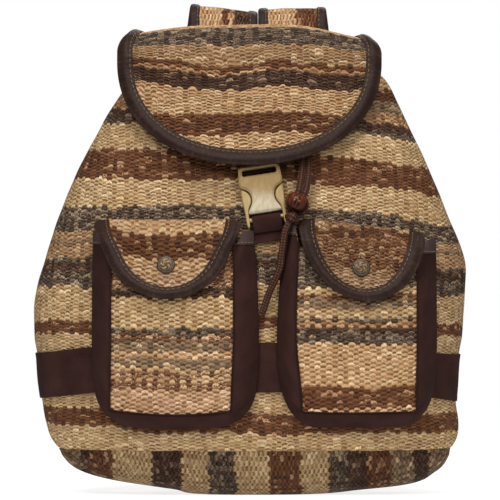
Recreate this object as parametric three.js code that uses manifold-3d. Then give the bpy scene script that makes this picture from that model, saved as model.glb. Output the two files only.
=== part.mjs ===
// Kilim backpack standing on its base, in millimetres: +Z up, the pocketed front towards -Y.
// A stuffed wool bag, gathered at its mouth by a drawstring, has a bound lid flap with a
// side-release buckle, two gusseted front pockets with bound snap flaps, a plain band round
// its lower part and two bound shoulder straps on its back.
import * as THREE from "three";
import Module from "manifold-3d";

// Driving dimensions
const CLOTH = 2.6; // kilim wall
const TWILL = 1.4; // plain brown cloth of the gussets and the band
const LEATHER = 1.2; // one layer of an edge binding
const GAP = 0.4; // clearance between neighbouring pieces
const BODY_POWER = 2.3; // roundness of the bag's level sections
const AROUND = 44; // facets round the bag
const WELD = 1e4; // steps in a millimetre when corners are welded
const MOUTH_HEIGHT = 346;
const GATHERS = { count: 11, depth: 3, start: 292 };

// Level sections of the stuffed bag: reach from the middle to each side
const BODY_SECTIONS = [
  { height: 32, left: 151, right: 159, front: 61, back: 56 },
  { height: 46, left: 158.5, right: 164.5, front: 68.5, back: 60 },
  { height: 76, left: 168, right: 166, front: 74, back: 63 },
  { height: 116, left: 172, right: 168.5, front: 78, back: 64 },
  { height: 156, left: 172.8, right: 171.4, front: 78, back: 62 },
  { height: 188, left: 165.5, right: 170.5, front: 75, back: 59 },
  { height: 220, left: 155.2, right: 159.2, front: 71, back: 55 },
  { height: 252, left: 142.4, right: 146, front: 65, back: 50 },
  { height: 284, left: 126, right: 132, front: 57, back: 45 },
  { height: 316, left: 108, right: 117, front: 46, back: 39 },
  { height: 332, left: 96, right: 107, front: 38.5, back: 34.5 },
  { height: 346, left: 82, right: 92, front: 30, back: 29 },
];
const BOTTOM_SECTIONS = [
  { height: 31.4, left: 150.5, right: 158.5, front: 60.5, back: 55.5 },
  { height: 21, left: 140, right: 151, front: 60.5, back: 55.5 },
  { height: 12, left: 121, right: 139, front: 57.5, back: 53.5 },
  { height: 4, left: 90, right: 114, front: 49, back: 47 },
  { height: 0, left: 66, right: 94, front: 38, back: 38 },
];
const BAND = { low: 79, high: 119 };

// Lid flap: a dome over the mouth, then a half-oval lying on the front
const FLAP = { centre: -0.5, half: 106, drop: 83.4, ovalTop: 347, power: 2.15, columns: 12 };
const FLAP_TOP = { rise: 35, droop: 10, backSeam: 334, roundHalf: 130, backReach: 38.6, backHalf: 118 };
const FLAP_DRAW = { in: 0.1, from: 0.12, to: 0.6 }; // what the sides draw in by, over a share of the dome
const FLAP_REACH = [
  { height: 262, front: 79 },
  { height: 285, front: 69 },
  { height: 305, front: 61 },
  { height: 325, front: 54.5 },
  { height: 340, front: 50 },
  { height: 347, front: 48.8 },
];

// Edge binding: a folded leather strip that holds the cloth's edge
const BINDING_WIDTH = 11;
const BINDING_FOLD = 2.4; // from the outer edge to the cloth inside the fold
const BINDING_ROOM = 0.6; // clearance on each face of the cloth inside the fold

// Front pockets: base outline on the body, front panel inside it, flap above
const POCKETS = [
  { side: "left", left: -126, right: 5.4, panelLeft: -109.4, panelRight: -14.6 },
  { side: "right", left: 24.2, right: 149.4, panelLeft: 37.8, panelRight: 133.3 },
];
const POCKET = { low: 52, panelLow: 67, baseLift: 3.5, depth: 20, columns: 7, rows: 6 };
// The front is flatter than the bag behind it and drawn in towards the mouth
const POCKET_FRONT = { flatter: 0.4, drawIn: 5, drawHeight: 50 };
const POCKET_CORNERS = { base: { wide: 27, high: 33 }, panel: { wide: 2, high: 2 } };
const POCKET_MOUTH = { base: 9, rim: 20, panel: 23, lean: 4 }; // below the flap's sewn edge; base leans in
const POCKET_FLAPS = {
  left: { x: -67, top: 220.5, half: 58.4, drop: 63.2, tilt: 0, snapAcross: 0, snapDown: 36 },
  right: { x: 89.4, top: 216.2, half: 50.8, drop: 60.6, tilt: -6.6, snapAcross: 3.6, snapDown: 34.2 },
};
const POCKET_FLAP = { power: 2.02, lift: 6, roof: 20, rootLift: 3.7, columns: 10, steps: 6 };
const OUTLINE_STEPS = 4; // along each side, corner and floor of a pocket's outline
const SNAP = { radius: 7.2, height: 2.4, sides: 16 }; // placed from the middle of the flap's sewn edge

// Shoulder straps: sewn to the back below the lid, arched over and down to the lower corners
const STRAP = { width: 55, thick: 4.4, binding: 8, bindingThick: 5.6, lowLean: 0.32 };
const STRAPS = [
  { side: "left", top: -22, low: -108 },
  { side: "right", top: 35, low: 112 },
];
// share: how far the strap has moved from its top place out to its low place
const STRAP_ROUTE = [
  { share: 0, y: 44.1, z: 306 },
  { share: 0, y: 47.5, z: 335 },
  { share: 0, y: 50, z: 368 },
  { share: 0, y: 58, z: 386 },
  { share: 0, y: 71, z: 389 },
  { share: 0.02, y: 84, z: 378 },
  { share: 0.06, y: 93, z: 354 },
  { share: 0.2, y: 107, z: 296 },
  { share: 0.42, y: 119, z: 225 },
  { share: 0.66, y: 119, z: 152 },
  { share: 0.86, y: 101, z: 90 },
  { share: 0.97, y: 74, z: 54 },
  { share: 1, y: 55, z: 42.5 },
];
const STRAP_STEPS = 24;

// Side-release buckle for 25 mm webbing, fastened, hanging a little askew below the lid.
// Heights are from the middle of the socket; half widths from its axis.
const BUCKLE = { x: 9.4, z: 244.2, span: 16, stand: 6.4, skew: 9, thick: 7.6, top: 21.5, bottom: -19 };
const SOCKET_SIDE = [
  { half: 13.2, z: -19 },
  { half: 13.2, z: -16.9 },
  { half: 11.3, z: -13.5 },
  { half: 9.4, z: -10.3 },
  { half: 8.9, z: -6.7 },
  { half: 9.6, z: -2.7 },
  { half: 11.9, z: 0.6 },
  { half: 16.3, z: 2.6 },
  { half: 17.7, z: 5.4 },
  { half: 16.5, z: 19.9 },
  { half: 14.9, z: 21.5 },
];
// A side arm of the pronged half: a D that fills the socket's notch and runs down as a leg
const ARM_SIDE = [
  { half: 16.2, z: -29.6 },
  { half: 16.2, z: -15.9 },
  { half: 17.2, z: 0.6 },
  { half: 16.2, z: 1.8 },
  { half: 12.7, z: -0.2 },
  { half: 10.4, z: -3.1 },
  { half: 9.7, z: -6.7 },
  { half: 10.2, z: -9.9 },
  { half: 12.1, z: -13.1 },
  { half: 13.6, z: -16.5 },
  { half: 13.6, z: -29.6 },
];
const SOCKET_SLOT = { width: 25.4, height: 3.6, z: 15.1 };
const SOCKET_THROAT = { half: 9, deep: 1.7, high: -1 };
const PRONGS = { thick: 6, reach: 14.9, barZ: -23.3, barRadius: 1.6 };
const WEB = { width: 23, thick: 1.3, lidEnd: 37, foldEnd: -33, bodyEnd: -41.4 };

// Drawstring: two strands out of the mouth's hem, a bead, a knot and a free tail.
// lift is the height of the cord's middle above the bag's front.
const CORD_RADIUS = 2.3;
const CORD_SIDES = 8;
const STRAND_STEPS = 16;
const TAIL_STEPS = 12;
const BEAD = { x: 37.8, z: 233.8, lift: 13.4, radius: 8.7, bore: 5.2, lean: 24, sides: 14, steps: 9 };
const STRAND_SPREAD = 2.5; // each strand's distance from the bead's axis
const STRAND_EASE = 0.3; // what the strands part by above the bead
const HELD = { from: -0.9, to: 0.78 }; // the strands' stretch inside the bead, in shares of its reach
const STRAND_ROUTE = [
  { x: 42, z: 322, lift: 4.4 },
  { x: 43, z: 306, lift: 4.2 },
  { x: 43.8, z: 290, lift: 3.6 },
  { x: 44.2, z: 276, lift: 3.6 },
  { x: 44.1, z: 264, lift: 5 },
  { x: 43.5, z: 254, lift: 8.6 },
  { x: 42, z: 245.6, lift: 12.4 },
];
const KNOT = { x: 33.4, z: 222, lift: 15.4, wide: 5.4, high: 4.2 };
const TAIL_ROUTE = [
  { x: 31, z: 217.6, lift: 16.4 },
  { x: 28.6, z: 213.4, lift: 17 },
  { x: 27, z: 207, lift: 16.4 },
  { x: 26.1, z: 200, lift: 15.4 },
  { x: 25, z: 192, lift: 14 },
  { x: 24.2, z: 184, lift: 12.4 },
  { x: 21.2, z: 175.2, lift: 10 },
  { x: 17.6, z: 167.6, lift: 7.6 },
  { x: 14, z: 159.2, lift: 5.6 },
  { x: 11.2, z: 150.4, lift: 4.4 },
  { x: 9.4, z: 145, lift: 3.8 },
];

// Materials of the finished bag
const MATERIALS = {
  kilim: new THREE.MeshStandardMaterial({ color: 0xb08f66, roughness: 0.95, metalness: 0 }),
  twill: new THREE.MeshStandardMaterial({ color: 0x3b2a26, roughness: 0.9, metalness: 0 }),
  leather: new THREE.MeshStandardMaterial({ color: 0x40322d, roughness: 0.6, metalness: 0 }),
  buckle: new THREE.MeshStandardMaterial({ color: 0xb59f6e, roughness: 0.35, metalness: 0 }),
  snap: new THREE.MeshStandardMaterial({ color: 0x5b5448, roughness: 0.4, metalness: 0.9 }),
  cord: new THREE.MeshStandardMaterial({ color: 0x5a3127, roughness: 0.8, metalness: 0 }),
  bead: new THREE.MeshStandardMaterial({ color: 0x5f2a17, roughness: 0.2, metalness: 0 }),
};

const wasm = await Module();
wasm.setup();
const backpack = new THREE.Group();

// Small mathematics

const radians = THREE.MathUtils.degToRad;
const mix = THREE.MathUtils.lerp;
const smooth = THREE.MathUtils.smoothstep;

function signedPower(value, power) {
  return Math.sign(value) * Math.abs(value) ** power;
}

function range(count, from = 0, to = 1) {
  return Array.from({ length: count + 1 }, (_, i) => mix(from, to, i / count));
}

// A smooth curve through the columns of a table, read at any height
function tableReader(table, key, columns) {
  const curve = new THREE.CubicInterpolant(
    table.map((row) => row[key]),
    table.flatMap((row) => columns.map((column) => row[column])),
    columns.length,
  );
  return (at) => {
    const values = [...curve.evaluate(at)];
    return Object.fromEntries(columns.map((column, i) => [column, values[i]]));
  };
}

const bodyAt = tableReader(BODY_SECTIONS, "height", ["left", "right", "front", "back"]);
const flapAt = tableReader(FLAP_REACH, "height", ["front"]);

// A point of a level section, grown outwards all round
function sectionPoint(section, height, angle, grow) {
  const across = (Math.cos(angle) < 0 ? section.left : section.right) + grow;
  const deep = (Math.sin(angle) < 0 ? section.front : section.back) + grow;
  const x = across * signedPower(Math.cos(angle), 2 / BODY_POWER);
  const y = deep * signedPower(Math.sin(angle), 2 / BODY_POWER);
  return new THREE.Vector3(x, y, height);
}

function sectionRing(section, height, grow, ripple = 0) {
  const angles = range(AROUND, 0, 2 * Math.PI).slice(0, AROUND);
  return angles.map((a) => sectionPoint(section, height, a, grow + ripple * Math.cos(GATHERS.count * a)));
}

// How round the bag is at a distance from its middle: 1 in the middle, 0 at the side
function roundness(x, half) {
  const share = Math.min(Math.abs(x) / half, 0.999);
  return (1 - share ** BODY_POWER) ** (1 / BODY_POWER);
}

function bagFront(x, z) {
  const section = bodyAt(z);
  return -section.front * roundness(x, x < 0 ? section.left : section.right);
}

// A point held off the bag's front by a lift
function onFront({ x, z, lift }) {
  return new THREE.Vector3(x, bagFront(x, z) - lift, z);
}

// Closed solids from points

function solid(points, faces) {
  const geometry = new THREE.BufferGeometry();
  geometry.setAttribute("position", new THREE.Float32BufferAttribute(points.flatMap((p) => p.toArray()), 3));
  const volume = faces.reduce((sum, [a, b, c]) => {
    return sum + points[a].dot(new THREE.Vector3().crossVectors(points[b], points[c]));
  }, 0);
  geometry.setIndex(faces.flatMap(([a, b, c]) => (volume < 0 ? [a, c, b] : [a, b, c])));
  return geometry;
}

function quad(a, b, c, d) {
  return [
    [a, b, c],
    [a, c, d],
  ];
}

// Two skins of the same grid joined round their rims. A ring's columns close on themselves.
function wallSolid(outer, inner, ring) {
  const rows = outer.length;
  const columns = outer[0].length;
  const at = (side, row, column) => (side * rows + row) * columns + (column % columns);
  const faces = [];
  const lastColumn = ring ? columns : columns - 1;
  for (let c = 0; c < lastColumn; c += 1) {
    for (let r = 0; r < rows - 1; r += 1) {
      faces.push(...quad(at(0, r, c), at(0, r, c + 1), at(0, r + 1, c + 1), at(0, r + 1, c)));
      faces.push(...quad(at(1, r, c), at(1, r + 1, c), at(1, r + 1, c + 1), at(1, r, c + 1)));
    }
    faces.push(...quad(at(0, 0, c), at(1, 0, c), at(1, 0, c + 1), at(0, 0, c + 1)));
    const top = rows - 1;
    faces.push(...quad(at(0, top, c), at(0, top, c + 1), at(1, top, c + 1), at(1, top, c)));
  }
  for (let r = 0; !ring && r < rows - 1; r += 1) {
    const end = columns - 1;
    faces.push(...quad(at(0, r, 0), at(0, r + 1, 0), at(1, r + 1, 0), at(1, r, 0)));
    faces.push(...quad(at(0, r, end), at(1, r, end), at(1, r + 1, end), at(0, r + 1, end)));
  }
  return solid([...outer.flat(), ...inner.flat()], faces);
}

// A bowl: two skins of rings joined at the rim, each closed by a flat floor
function bowlSolid(outer, inner) {
  const rows = outer.length;
  const at = (side, row, column) => (side * rows + row) * AROUND + (column % AROUND);
  const points = [...outer.flat(), ...inner.flat()];
  const faces = [];
  const floors = [outer, inner].map((skin) => {
    points.push(new THREE.Vector3(0, 0, skin[rows - 1][0].z));
    return points.length - 1;
  });
  for (let c = 0; c < AROUND; c += 1) {
    for (let r = 0; r < rows - 1; r += 1) {
      faces.push(...quad(at(0, r, c), at(0, r + 1, c), at(0, r + 1, c + 1), at(0, r, c + 1)));
      faces.push(...quad(at(1, r, c), at(1, r, c + 1), at(1, r + 1, c + 1), at(1, r + 1, c)));
    }
    faces.push(...quad(at(0, 0, c), at(0, 0, c + 1), at(1, 0, c + 1), at(1, 0, c)));
    faces.push([at(0, rows - 1, c), floors[0], at(0, rows - 1, c + 1)]);
    faces.push([at(1, rows - 1, c), at(1, rows - 1, c + 1), floors[1]]);
  }
  return solid(points, faces);
}

// A closed outline carried through a row of places, with flat ends
function sweptSolid(rings, outline) {
  const sides = outline.length;
  const at = (row, side) => row * sides + (side % sides);
  const faces = [];
  for (let r = 0; r < rings.length - 1; r += 1) {
    for (let s = 0; s < sides; s += 1) {
      faces.push(...quad(at(r, s), at(r, s + 1), at(r + 1, s + 1), at(r + 1, s)));
    }
  }
  const last = rings.length - 1;
  const backwards = THREE.ShapeUtils.isClockWise(outline);
  for (const triangle of THREE.ShapeUtils.triangulateShape(outline, [])) {
    const [a, b, c] = backwards ? triangle.reverse() : triangle;
    faces.push([a, c, b]);
    faces.push([at(last, a), at(last, b), at(last, c)]);
  }
  return solid(rings.flat(), faces);
}

function circle(radius, sides, height = 0) {
  const angles = range(sides, 0, 2 * Math.PI).slice(0, sides);
  return angles.map((a) => new THREE.Vector2(radius * Math.cos(a), height + radius * Math.sin(a)));
}

function tubeAlong(points, radius, steps) {
  const section = new THREE.Shape(circle(radius, CORD_SIDES));
  const path = new THREE.CatmullRomCurve3(points);
  return new THREE.ExtrudeGeometry(section, { steps, extrudePath: path, bevelEnabled: false });
}

// Joining and cutting

function toManifold(geometry) {
  const plain = geometry.index ? geometry.toNonIndexed() : geometry;
  const positions = plain.getAttribute("position").array;
  const seen = new Map();
  const vertices = [];
  const triangles = [];
  for (let i = 0; i < positions.length; i += 3) {
    const exact = [positions[i], positions[i + 1], positions[i + 2]];
    const corner = exact.map((value) => Math.round(value * WELD) / WELD);
    const key = corner.join();
    if (!seen.has(key)) {
      seen.set(key, vertices.length / 3);
      vertices.push(...corner);
    }
    triangles.push(seen.get(key));
  }
  const mesh = new wasm.Mesh({
    numProp: 3,
    vertProperties: new Float32Array(vertices),
    triVerts: new Uint32Array(triangles),
  });
  return new wasm.Manifold(mesh);
}

function fromManifold(shape) {
  const mesh = shape.getMesh();
  const geometry = new THREE.BufferGeometry();
  geometry.setAttribute("position", new THREE.Float32BufferAttribute(mesh.vertProperties, 3));
  geometry.setIndex([...mesh.triVerts]);
  return geometry;
}

// A block between two corners
function block(x0, x1, y0, y1, z0, z1) {
  const geometry = new THREE.BoxGeometry(x1 - x0, y1 - y0, z1 - z0);
  return geometry.translate((x0 + x1) / 2, (y0 + y1) / 2, (z0 + z1) / 2);
}

// An outline drawn in the front view (x, z), given a thickness about the y plane
function plate(outline, thick) {
  const settings = { depth: thick, bevelEnabled: false, curveSegments: 8 };
  const geometry = new THREE.ExtrudeGeometry(outline, settings);
  return geometry.translate(0, 0, -thick / 2).rotateX(Math.PI / 2);
}

// An outline drawn in the side view (y, z), given a width along x
function webbing(outline, width) {
  const settings = { depth: width, bevelEnabled: false, curveSegments: 6 };
  const geometry = new THREE.ExtrudeGeometry(outline, settings);
  const turn = new THREE.Matrix4().makeBasis(
    new THREE.Vector3(0, 1, 0),
    new THREE.Vector3(0, 0, 1),
    new THREE.Vector3(1, 0, 0),
  );
  return geometry.translate(0, 0, -width / 2).applyMatrix4(turn);
}

function addPiece(name, geometry, material, parent = backpack) {
  const mesh = new THREE.Mesh(geometry, material);
  mesh.name = name;
  parent.add(mesh);
  return mesh;
}

// Bag: body cloth, bottom panel and band

function makeBody() {
  const heights = BODY_SECTIONS.map((row) => row.height);
  const ripple = (z) => GATHERS.depth * smooth(z, GATHERS.start, MOUTH_HEIGHT);
  const skin = (grow) => heights.map((z) => sectionRing(bodyAt(z), z, grow, ripple(z)));
  addPiece("body", wallSolid(skin(0), skin(-CLOTH), true), MATERIALS.kilim);
}

function makeBottomPanel() {
  const outer = BOTTOM_SECTIONS.map((row) => sectionRing(row, row.height, 0));
  const inner = BOTTOM_SECTIONS.map((row, i) => {
    const rise = CLOTH * (i / (BOTTOM_SECTIONS.length - 1));
    return sectionRing(row, row.height + rise, -CLOTH);
  });
  addPiece("bottom_panel", bowlSolid(outer, inner), MATERIALS.kilim);
}

function makeBand() {
  const heights = range(2, BAND.low, BAND.high);
  const skin = (grow) => heights.map((z) => sectionRing(bodyAt(z), z, grow));
  addPiece("waist_band", wallSolid(skin(GAP + TWILL), skin(GAP), true), MATERIALS.twill);
}

// Half-oval sheets with a bound edge, laid on a surface given by place(x, q, offset)

const OVAL_TIP = radians(86);
const OVAL_ROWS = 9;

// A place on the oval's edge, moved square to the edge by an inset
function ovalEdge(oval, angle, inset) {
  const half = oval.half * signedPower(Math.cos(angle), 2 / oval.power);
  const along = oval.drop * signedPower(Math.sin(angle), 2 / oval.power);
  const square = new THREE.Vector2(
    Math.cos(angle) ** (2 - 2 / oval.power) / oval.half,
    Math.sin(angle) ** (2 - 2 / oval.power) / oval.drop,
  ).normalize();
  return { half: Math.max(half - inset * square.x, 0), along: along - inset * square.y };
}

// A bound sheet's grid: its columns draw together towards the edges, where it bends most
function ovalSheet(oval, place, lead, angles, columns) {
  const spread = range(columns, -Math.PI / 2, Math.PI / 2).map(Math.sin);
  const inset = BINDING_FOLD + GAP;
  const bands = [
    ...lead.map((q) => ({ along: q, half: oval.half - inset })),
    ...angles.map((angle) => ovalEdge(oval, angle, inset)),
  ];
  const skin = (offset) =>
    bands.map(({ along, half }) => spread.map((share) => place(oval.centre + share * half, along, offset)));
  return wallSolid(skin(CLOTH / 2), skin(-CLOTH / 2), false);
}

// The folded strip's section: inset from the edge, offset from the cloth's middle
function bindingSection() {
  const inside = CLOTH / 2 + BINDING_ROOM;
  const outside = inside + LEATHER;
  return [
    [0, -outside * 0.5],
    [0, outside * 0.5],
    [BINDING_FOLD * 0.6, outside],
    [BINDING_WIDTH, outside],
    [BINDING_WIDTH, inside],
    [BINDING_FOLD, inside],
    [BINDING_FOLD, -inside],
    [BINDING_WIDTH, -inside],
    [BINDING_WIDTH, -outside],
    [BINDING_FOLD * 0.6, -outside],
  ].map(([inset, offset]) => new THREE.Vector2(inset, offset));
}

function ovalBinding(oval, place, lead, angles) {
  const section = bindingSection();
  const ring = (side, q, angle) =>
    section.map(({ x: inset, y: offset }) => {
      const edge = angle === null ? { half: oval.half - inset, along: q } : ovalEdge(oval, angle, inset);
      return place(oval.centre + side * edge.half, edge.along, offset);
    });
  const half = (side) => [...lead.map((q) => ring(side, q, null)), ...angles.map((a) => ring(side, 0, a))];
  const tip = section.map(({ x: inset, y: offset }) => place(oval.centre, oval.drop - inset, offset));
  return sweptSolid([...half(-1), tip, ...half(1).reverse()], section);
}

// Lid flap

// Places the lid's cloth, drawn in at the sides where it goes over the top
function lidPlace(side, q, offset) {
  const drawn = 1 - FLAP_DRAW.in * smooth(-q, FLAP_DRAW.from, FLAP_DRAW.to);
  const x = FLAP.centre + (side - FLAP.centre) * drawn;
  const reach = (z) => -flapAt(z).front * roundness(x, FLAP_TOP.roundHalf);
  if (q >= 0) {
    const z = FLAP.ovalTop - q;
    return new THREE.Vector3(x, reach(z) - offset, z);
  }
  const turn = Math.PI * -q;
  const front = reach(FLAP.ovalTop);
  const back = FLAP_TOP.backReach * roundness(x, FLAP_TOP.backHalf);
  const rise = FLAP_TOP.rise - FLAP_TOP.droop * ((x - FLAP.centre) / FLAP.half) ** 2;
  const y = mix(front, back, (1 - Math.cos(turn)) / 2);
  const z = mix(FLAP.ovalTop, FLAP_TOP.backSeam, -q) + rise * Math.sin(turn);
  const deep = (back - front) / 2;
  const outward = new THREE.Vector2(-Math.cos(turn) / deep, Math.sin(turn) / rise).normalize();
  return new THREE.Vector3(x, y + offset * outward.x, z + offset * outward.y);
}

function makeLid() {
  const lead = [-1, -0.86, -0.72, -0.6, -0.5, -0.4, -0.28, -0.14];
  const angles = range(OVAL_ROWS, 0, OVAL_TIP);
  addPiece("flap", ovalSheet(FLAP, lidPlace, lead, angles, FLAP.columns), MATERIALS.kilim);
  addPiece("flap_binding", ovalBinding(FLAP, lidPlace, lead, angles), MATERIALS.leather);
}

// Pockets

// The pocket's open top edge runs level with its flap's sewn edge
function mouthHeight(pocket, x, below) {
  const flap = POCKET_FLAPS[pocket.side];
  return flap.top - below + Math.tan(radians(flap.tilt)) * (x - flap.x);
}

// A pocket's U-shaped outline in the front view, from its left mouth round to its right mouth
function pocketOutline(pocket, { left, right, low, corners, below, lean }) {
  const { wide, high } = corners;
  const turned = (cx, a) => [cx + wide * Math.cos(a), low + high + high * Math.sin(a)];
  const corner = (cx, from) => range(OUTLINE_STEPS, from, from + Math.PI / 2).map((a) => turned(cx, a));
  const side = (x, inward) => {
    const top = mouthHeight(pocket, x, below);
    const ups = range(OUTLINE_STEPS, 1, 0).slice(0, -1);
    return ups.map((up) => [x + inward * lean * up, mix(low + high, top, up)]);
  };
  const floor = range(OUTLINE_STEPS, left + wide, right - wide).slice(1, -1);
  return [
    ...side(left, 1),
    ...corner(left + wide, Math.PI),
    ...floor.map((x) => [x, low]),
    ...corner(right - wide, 1.5 * Math.PI),
    ...side(right, -1).reverse(),
  ];
}

// How far the pocket's panel stands off the bag: flatter than the bag and drawn in at the mouth
function panelLift(pocket, x, z) {
  const middle = (pocket.left + pocket.right) / 2;
  const flatten = POCKET_FRONT.flatter * (bagFront(x, z) - bagFront(middle, z));
  const mouth = mouthHeight(pocket, x, POCKET_MOUTH.panel);
  return POCKET.depth + flatten - POCKET_FRONT.drawIn * smooth(z, mouth - POCKET_FRONT.drawHeight, mouth);
}

function makeGusset(pocket) {
  const base = pocketOutline(pocket, {
    left: pocket.left,
    right: pocket.right,
    low: POCKET.low,
    corners: POCKET_CORNERS.base,
    below: POCKET_MOUTH.base,
    lean: POCKET_MOUTH.lean,
  });
  const rim = pocketOutline(pocket, {
    left: pocket.panelLeft,
    right: pocket.panelRight,
    low: POCKET.panelLow,
    corners: POCKET_CORNERS.panel,
    below: POCKET_MOUTH.rim,
    lean: 0,
  });
  const skin = (offset) =>
    [0, 0.5, 1].map((share) =>
      base.map(([baseX, baseZ], i) => {
        const x = mix(baseX, rim[i][0], share);
        const z = mix(baseZ, rim[i][1], share);
        const lift = mix(POCKET.baseLift, panelLift(pocket, ...rim[i]), Math.sin((share * Math.PI) / 2));
        return onFront({ x, z, lift: lift + offset });
      }),
    );
  const gusset = wallSolid(skin(TWILL / 2), skin(-TWILL / 2), false);
  addPiece(`pocket_${pocket.side}_gusset`, gusset, MATERIALS.twill);
}

function makePanel(pocket) {
  const clear = 2 * GAP;
  const columns = range(POCKET.columns, pocket.panelLeft + clear, pocket.panelRight - clear);
  const skin = (offset) =>
    range(POCKET.rows).map((share) =>
      columns.map((x) => {
        const z = mix(POCKET.panelLow + clear, mouthHeight(pocket, x, POCKET_MOUTH.panel), share);
        return onFront({ x, z, lift: panelLift(pocket, x, z) + offset });
      }),
    );
  const panel = wallSolid(skin(CLOTH / 2), skin(-CLOTH / 2), false);
  addPiece(`pocket_${pocket.side}_panel`, panel, MATERIALS.kilim);
}

// The flap's own plane: x across it, q down from its sewn top edge, turned by its tilt
function pocketFlapPlace(pocket) {
  const flap = POCKET_FLAPS[pocket.side];
  const tilt = radians(flap.tilt);
  return (across, q, offset) => {
    const x = flap.x + across * Math.cos(tilt) + q * Math.sin(tilt);
    const z = flap.top + across * Math.sin(tilt) - q * Math.cos(tilt);
    const full = panelLift(pocket, x, z) + POCKET_FLAP.lift;
    const lift = mix(POCKET_FLAP.rootLift, full, Math.sin((Math.PI / 2) * Math.min(q / POCKET_FLAP.roof, 1)));
    return onFront({ x, z, lift: lift + offset });
  };
}

function makePocketFlap(pocket) {
  const place = pocketFlapPlace(pocket);
  const oval = { centre: 0, power: POCKET_FLAP.power, ...POCKET_FLAPS[pocket.side] };
  const { steps, columns } = POCKET_FLAP;
  const roof = range(steps, 0, POCKET_FLAP.roof).map((q) => Math.asin((q / oval.drop) ** (oval.power / 2)));
  const angles = [...roof, ...range(steps, roof.at(-1), OVAL_TIP).slice(1)];
  const name = `pocket_${pocket.side}_flap`;
  addPiece(name, ovalSheet(oval, place, [], angles, columns), MATERIALS.kilim);
  addPiece(`${name}_binding`, ovalBinding(oval, place, [], angles), MATERIALS.leather);
  addSnap(pocket, place);
}

// A domed cap on the flap, turned to face out of it
function addSnap(pocket, place) {
  const profile = [
    [0, 0],
    [SNAP.radius * 0.9, 0],
    [SNAP.radius, SNAP.height * 0.3],
    [SNAP.radius * 0.9, SNAP.height * 0.7],
    [SNAP.radius * 0.5, SNAP.height * 0.95],
    [0, SNAP.height],
  ].map(([r, h]) => new THREE.Vector2(r, h));
  const off = CLOTH / 2 + GAP;
  const { snapAcross, snapDown } = POCKET_FLAPS[pocket.side];
  const seat = place(snapAcross, snapDown, off);
  const alongX = place(snapAcross + 1, snapDown, off).sub(seat);
  const alongQ = place(snapAcross, snapDown + 1, off).sub(seat);
  const outward = new THREE.Vector3().crossVectors(alongX, alongQ).normalize();
  outward.multiplyScalar(-Math.sign(outward.y));
  const dome = new THREE.LatheGeometry(profile, SNAP.sides);
  const cap = addPiece(`pocket_${pocket.side}_snap`, dome, MATERIALS.snap);
  cap.position.copy(seat);
  cap.quaternion.setFromUnitVectors(new THREE.Vector3(0, 1, 0), outward);
}

function makePocket(pocket) {
  makeGusset(pocket);
  makePanel(pocket);
  makePocketFlap(pocket);
}

// Shoulder straps

function makeStrap({ side, top, low }) {
  const route = new THREE.CatmullRomCurve3(
    STRAP_ROUTE.map(({ share, y, z }) => new THREE.Vector3(mix(top, low, share), y, z)),
  );
  const places = range(STRAP_STEPS).map((t) => {
    const ahead = route.getTangent(t);
    const lean = -Math.sign(low) * STRAP.lowLean * smooth(t, 0.8, 1);
    const level = new THREE.Vector3(1, lean, 0);
    const across = level.addScaledVector(ahead, -ahead.dot(level)).normalize();
    return { at: route.getPoint(t), across, out: new THREE.Vector3().crossVectors(across, ahead) };
  });
  const alongStrap = (section) => {
    const outline = section.map(([w, n]) => new THREE.Vector2(w, n));
    const rings = places.map(({ at, across, out }) =>
      outline.map(({ x: w, y: n }) => at.clone().addScaledVector(across, w).addScaledVector(out, n)),
    );
    return sweptSolid(rings, outline);
  };
  const half = STRAP.width / 2;
  const cloth = half - STRAP.binding;
  const edge = (sign) =>
    alongStrap([
      [sign * cloth, STRAP.bindingThick / 2],
      [sign * (half - 2), STRAP.bindingThick / 2],
      [sign * half, 0],
      [sign * (half - 2), -STRAP.bindingThick / 2],
      [sign * cloth, -STRAP.bindingThick / 2],
    ]);
  const middle = [
    [GAP - cloth, -STRAP.thick / 2],
    [cloth - GAP, -STRAP.thick / 2],
    [cloth - GAP, STRAP.thick / 2],
    [GAP - cloth, STRAP.thick / 2],
  ];
  addPiece(`strap_${side}`, alongStrap(middle), MATERIALS.kilim);
  addPiece(`strap_${side}_edge_a`, edge(-1), MATERIALS.leather);
  addPiece(`strap_${side}_edge_b`, edge(1), MATERIALS.leather);
}

// Buckle: the socket above, the pronged half in it below, and the webbing at each end

function socketOutline() {
  const right = SOCKET_SIDE.map(({ half, z }) => new THREE.Vector2(half, z));
  const left = right.map(({ x, y }) => new THREE.Vector2(-x, y)).reverse();
  return new THREE.Shape([...right, ...left]);
}

function makeSocket(parent) {
  const slotHalf = SOCKET_SLOT.width / 2;
  const slotLow = SOCKET_SLOT.z - SOCKET_SLOT.height / 2;
  const slotHigh = SOCKET_SLOT.z + SOCKET_SLOT.height / 2;
  const slot = block(-slotHalf, slotHalf, -BUCKLE.thick, BUCKLE.thick, slotLow, slotHigh);
  const { half, deep, high } = SOCKET_THROAT;
  const throat = block(-half, half, -deep, deep, BUCKLE.bottom - 1, high);
  const body = toManifold(plate(socketOutline(), BUCKLE.thick));
  const socket = body.subtract(toManifold(slot)).subtract(toManifold(throat));
  addPiece("buckle_socket", fromManifold(socket), MATERIALS.buckle, parent);
}

function armOutline(side) {
  return new THREE.Shape(ARM_SIDE.map(({ half, z }) => new THREE.Vector2(side * half, z)));
}

function makeProngs(parent) {
  const bar = new THREE.CylinderGeometry(PRONGS.barRadius, PRONGS.barRadius, 2 * PRONGS.reach, 10);
  bar.rotateZ(Math.PI / 2).translate(0, 0, PRONGS.barZ);
  const arms = [1, -1].map((side) => toManifold(plate(armOutline(side), PRONGS.thick)));
  const prongs = arms.reduce((joined, arm) => joined.add(arm), toManifold(bar));
  addPiece("buckle_prongs", fromManifold(prongs), MATERIALS.buckle, parent);
}

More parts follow.
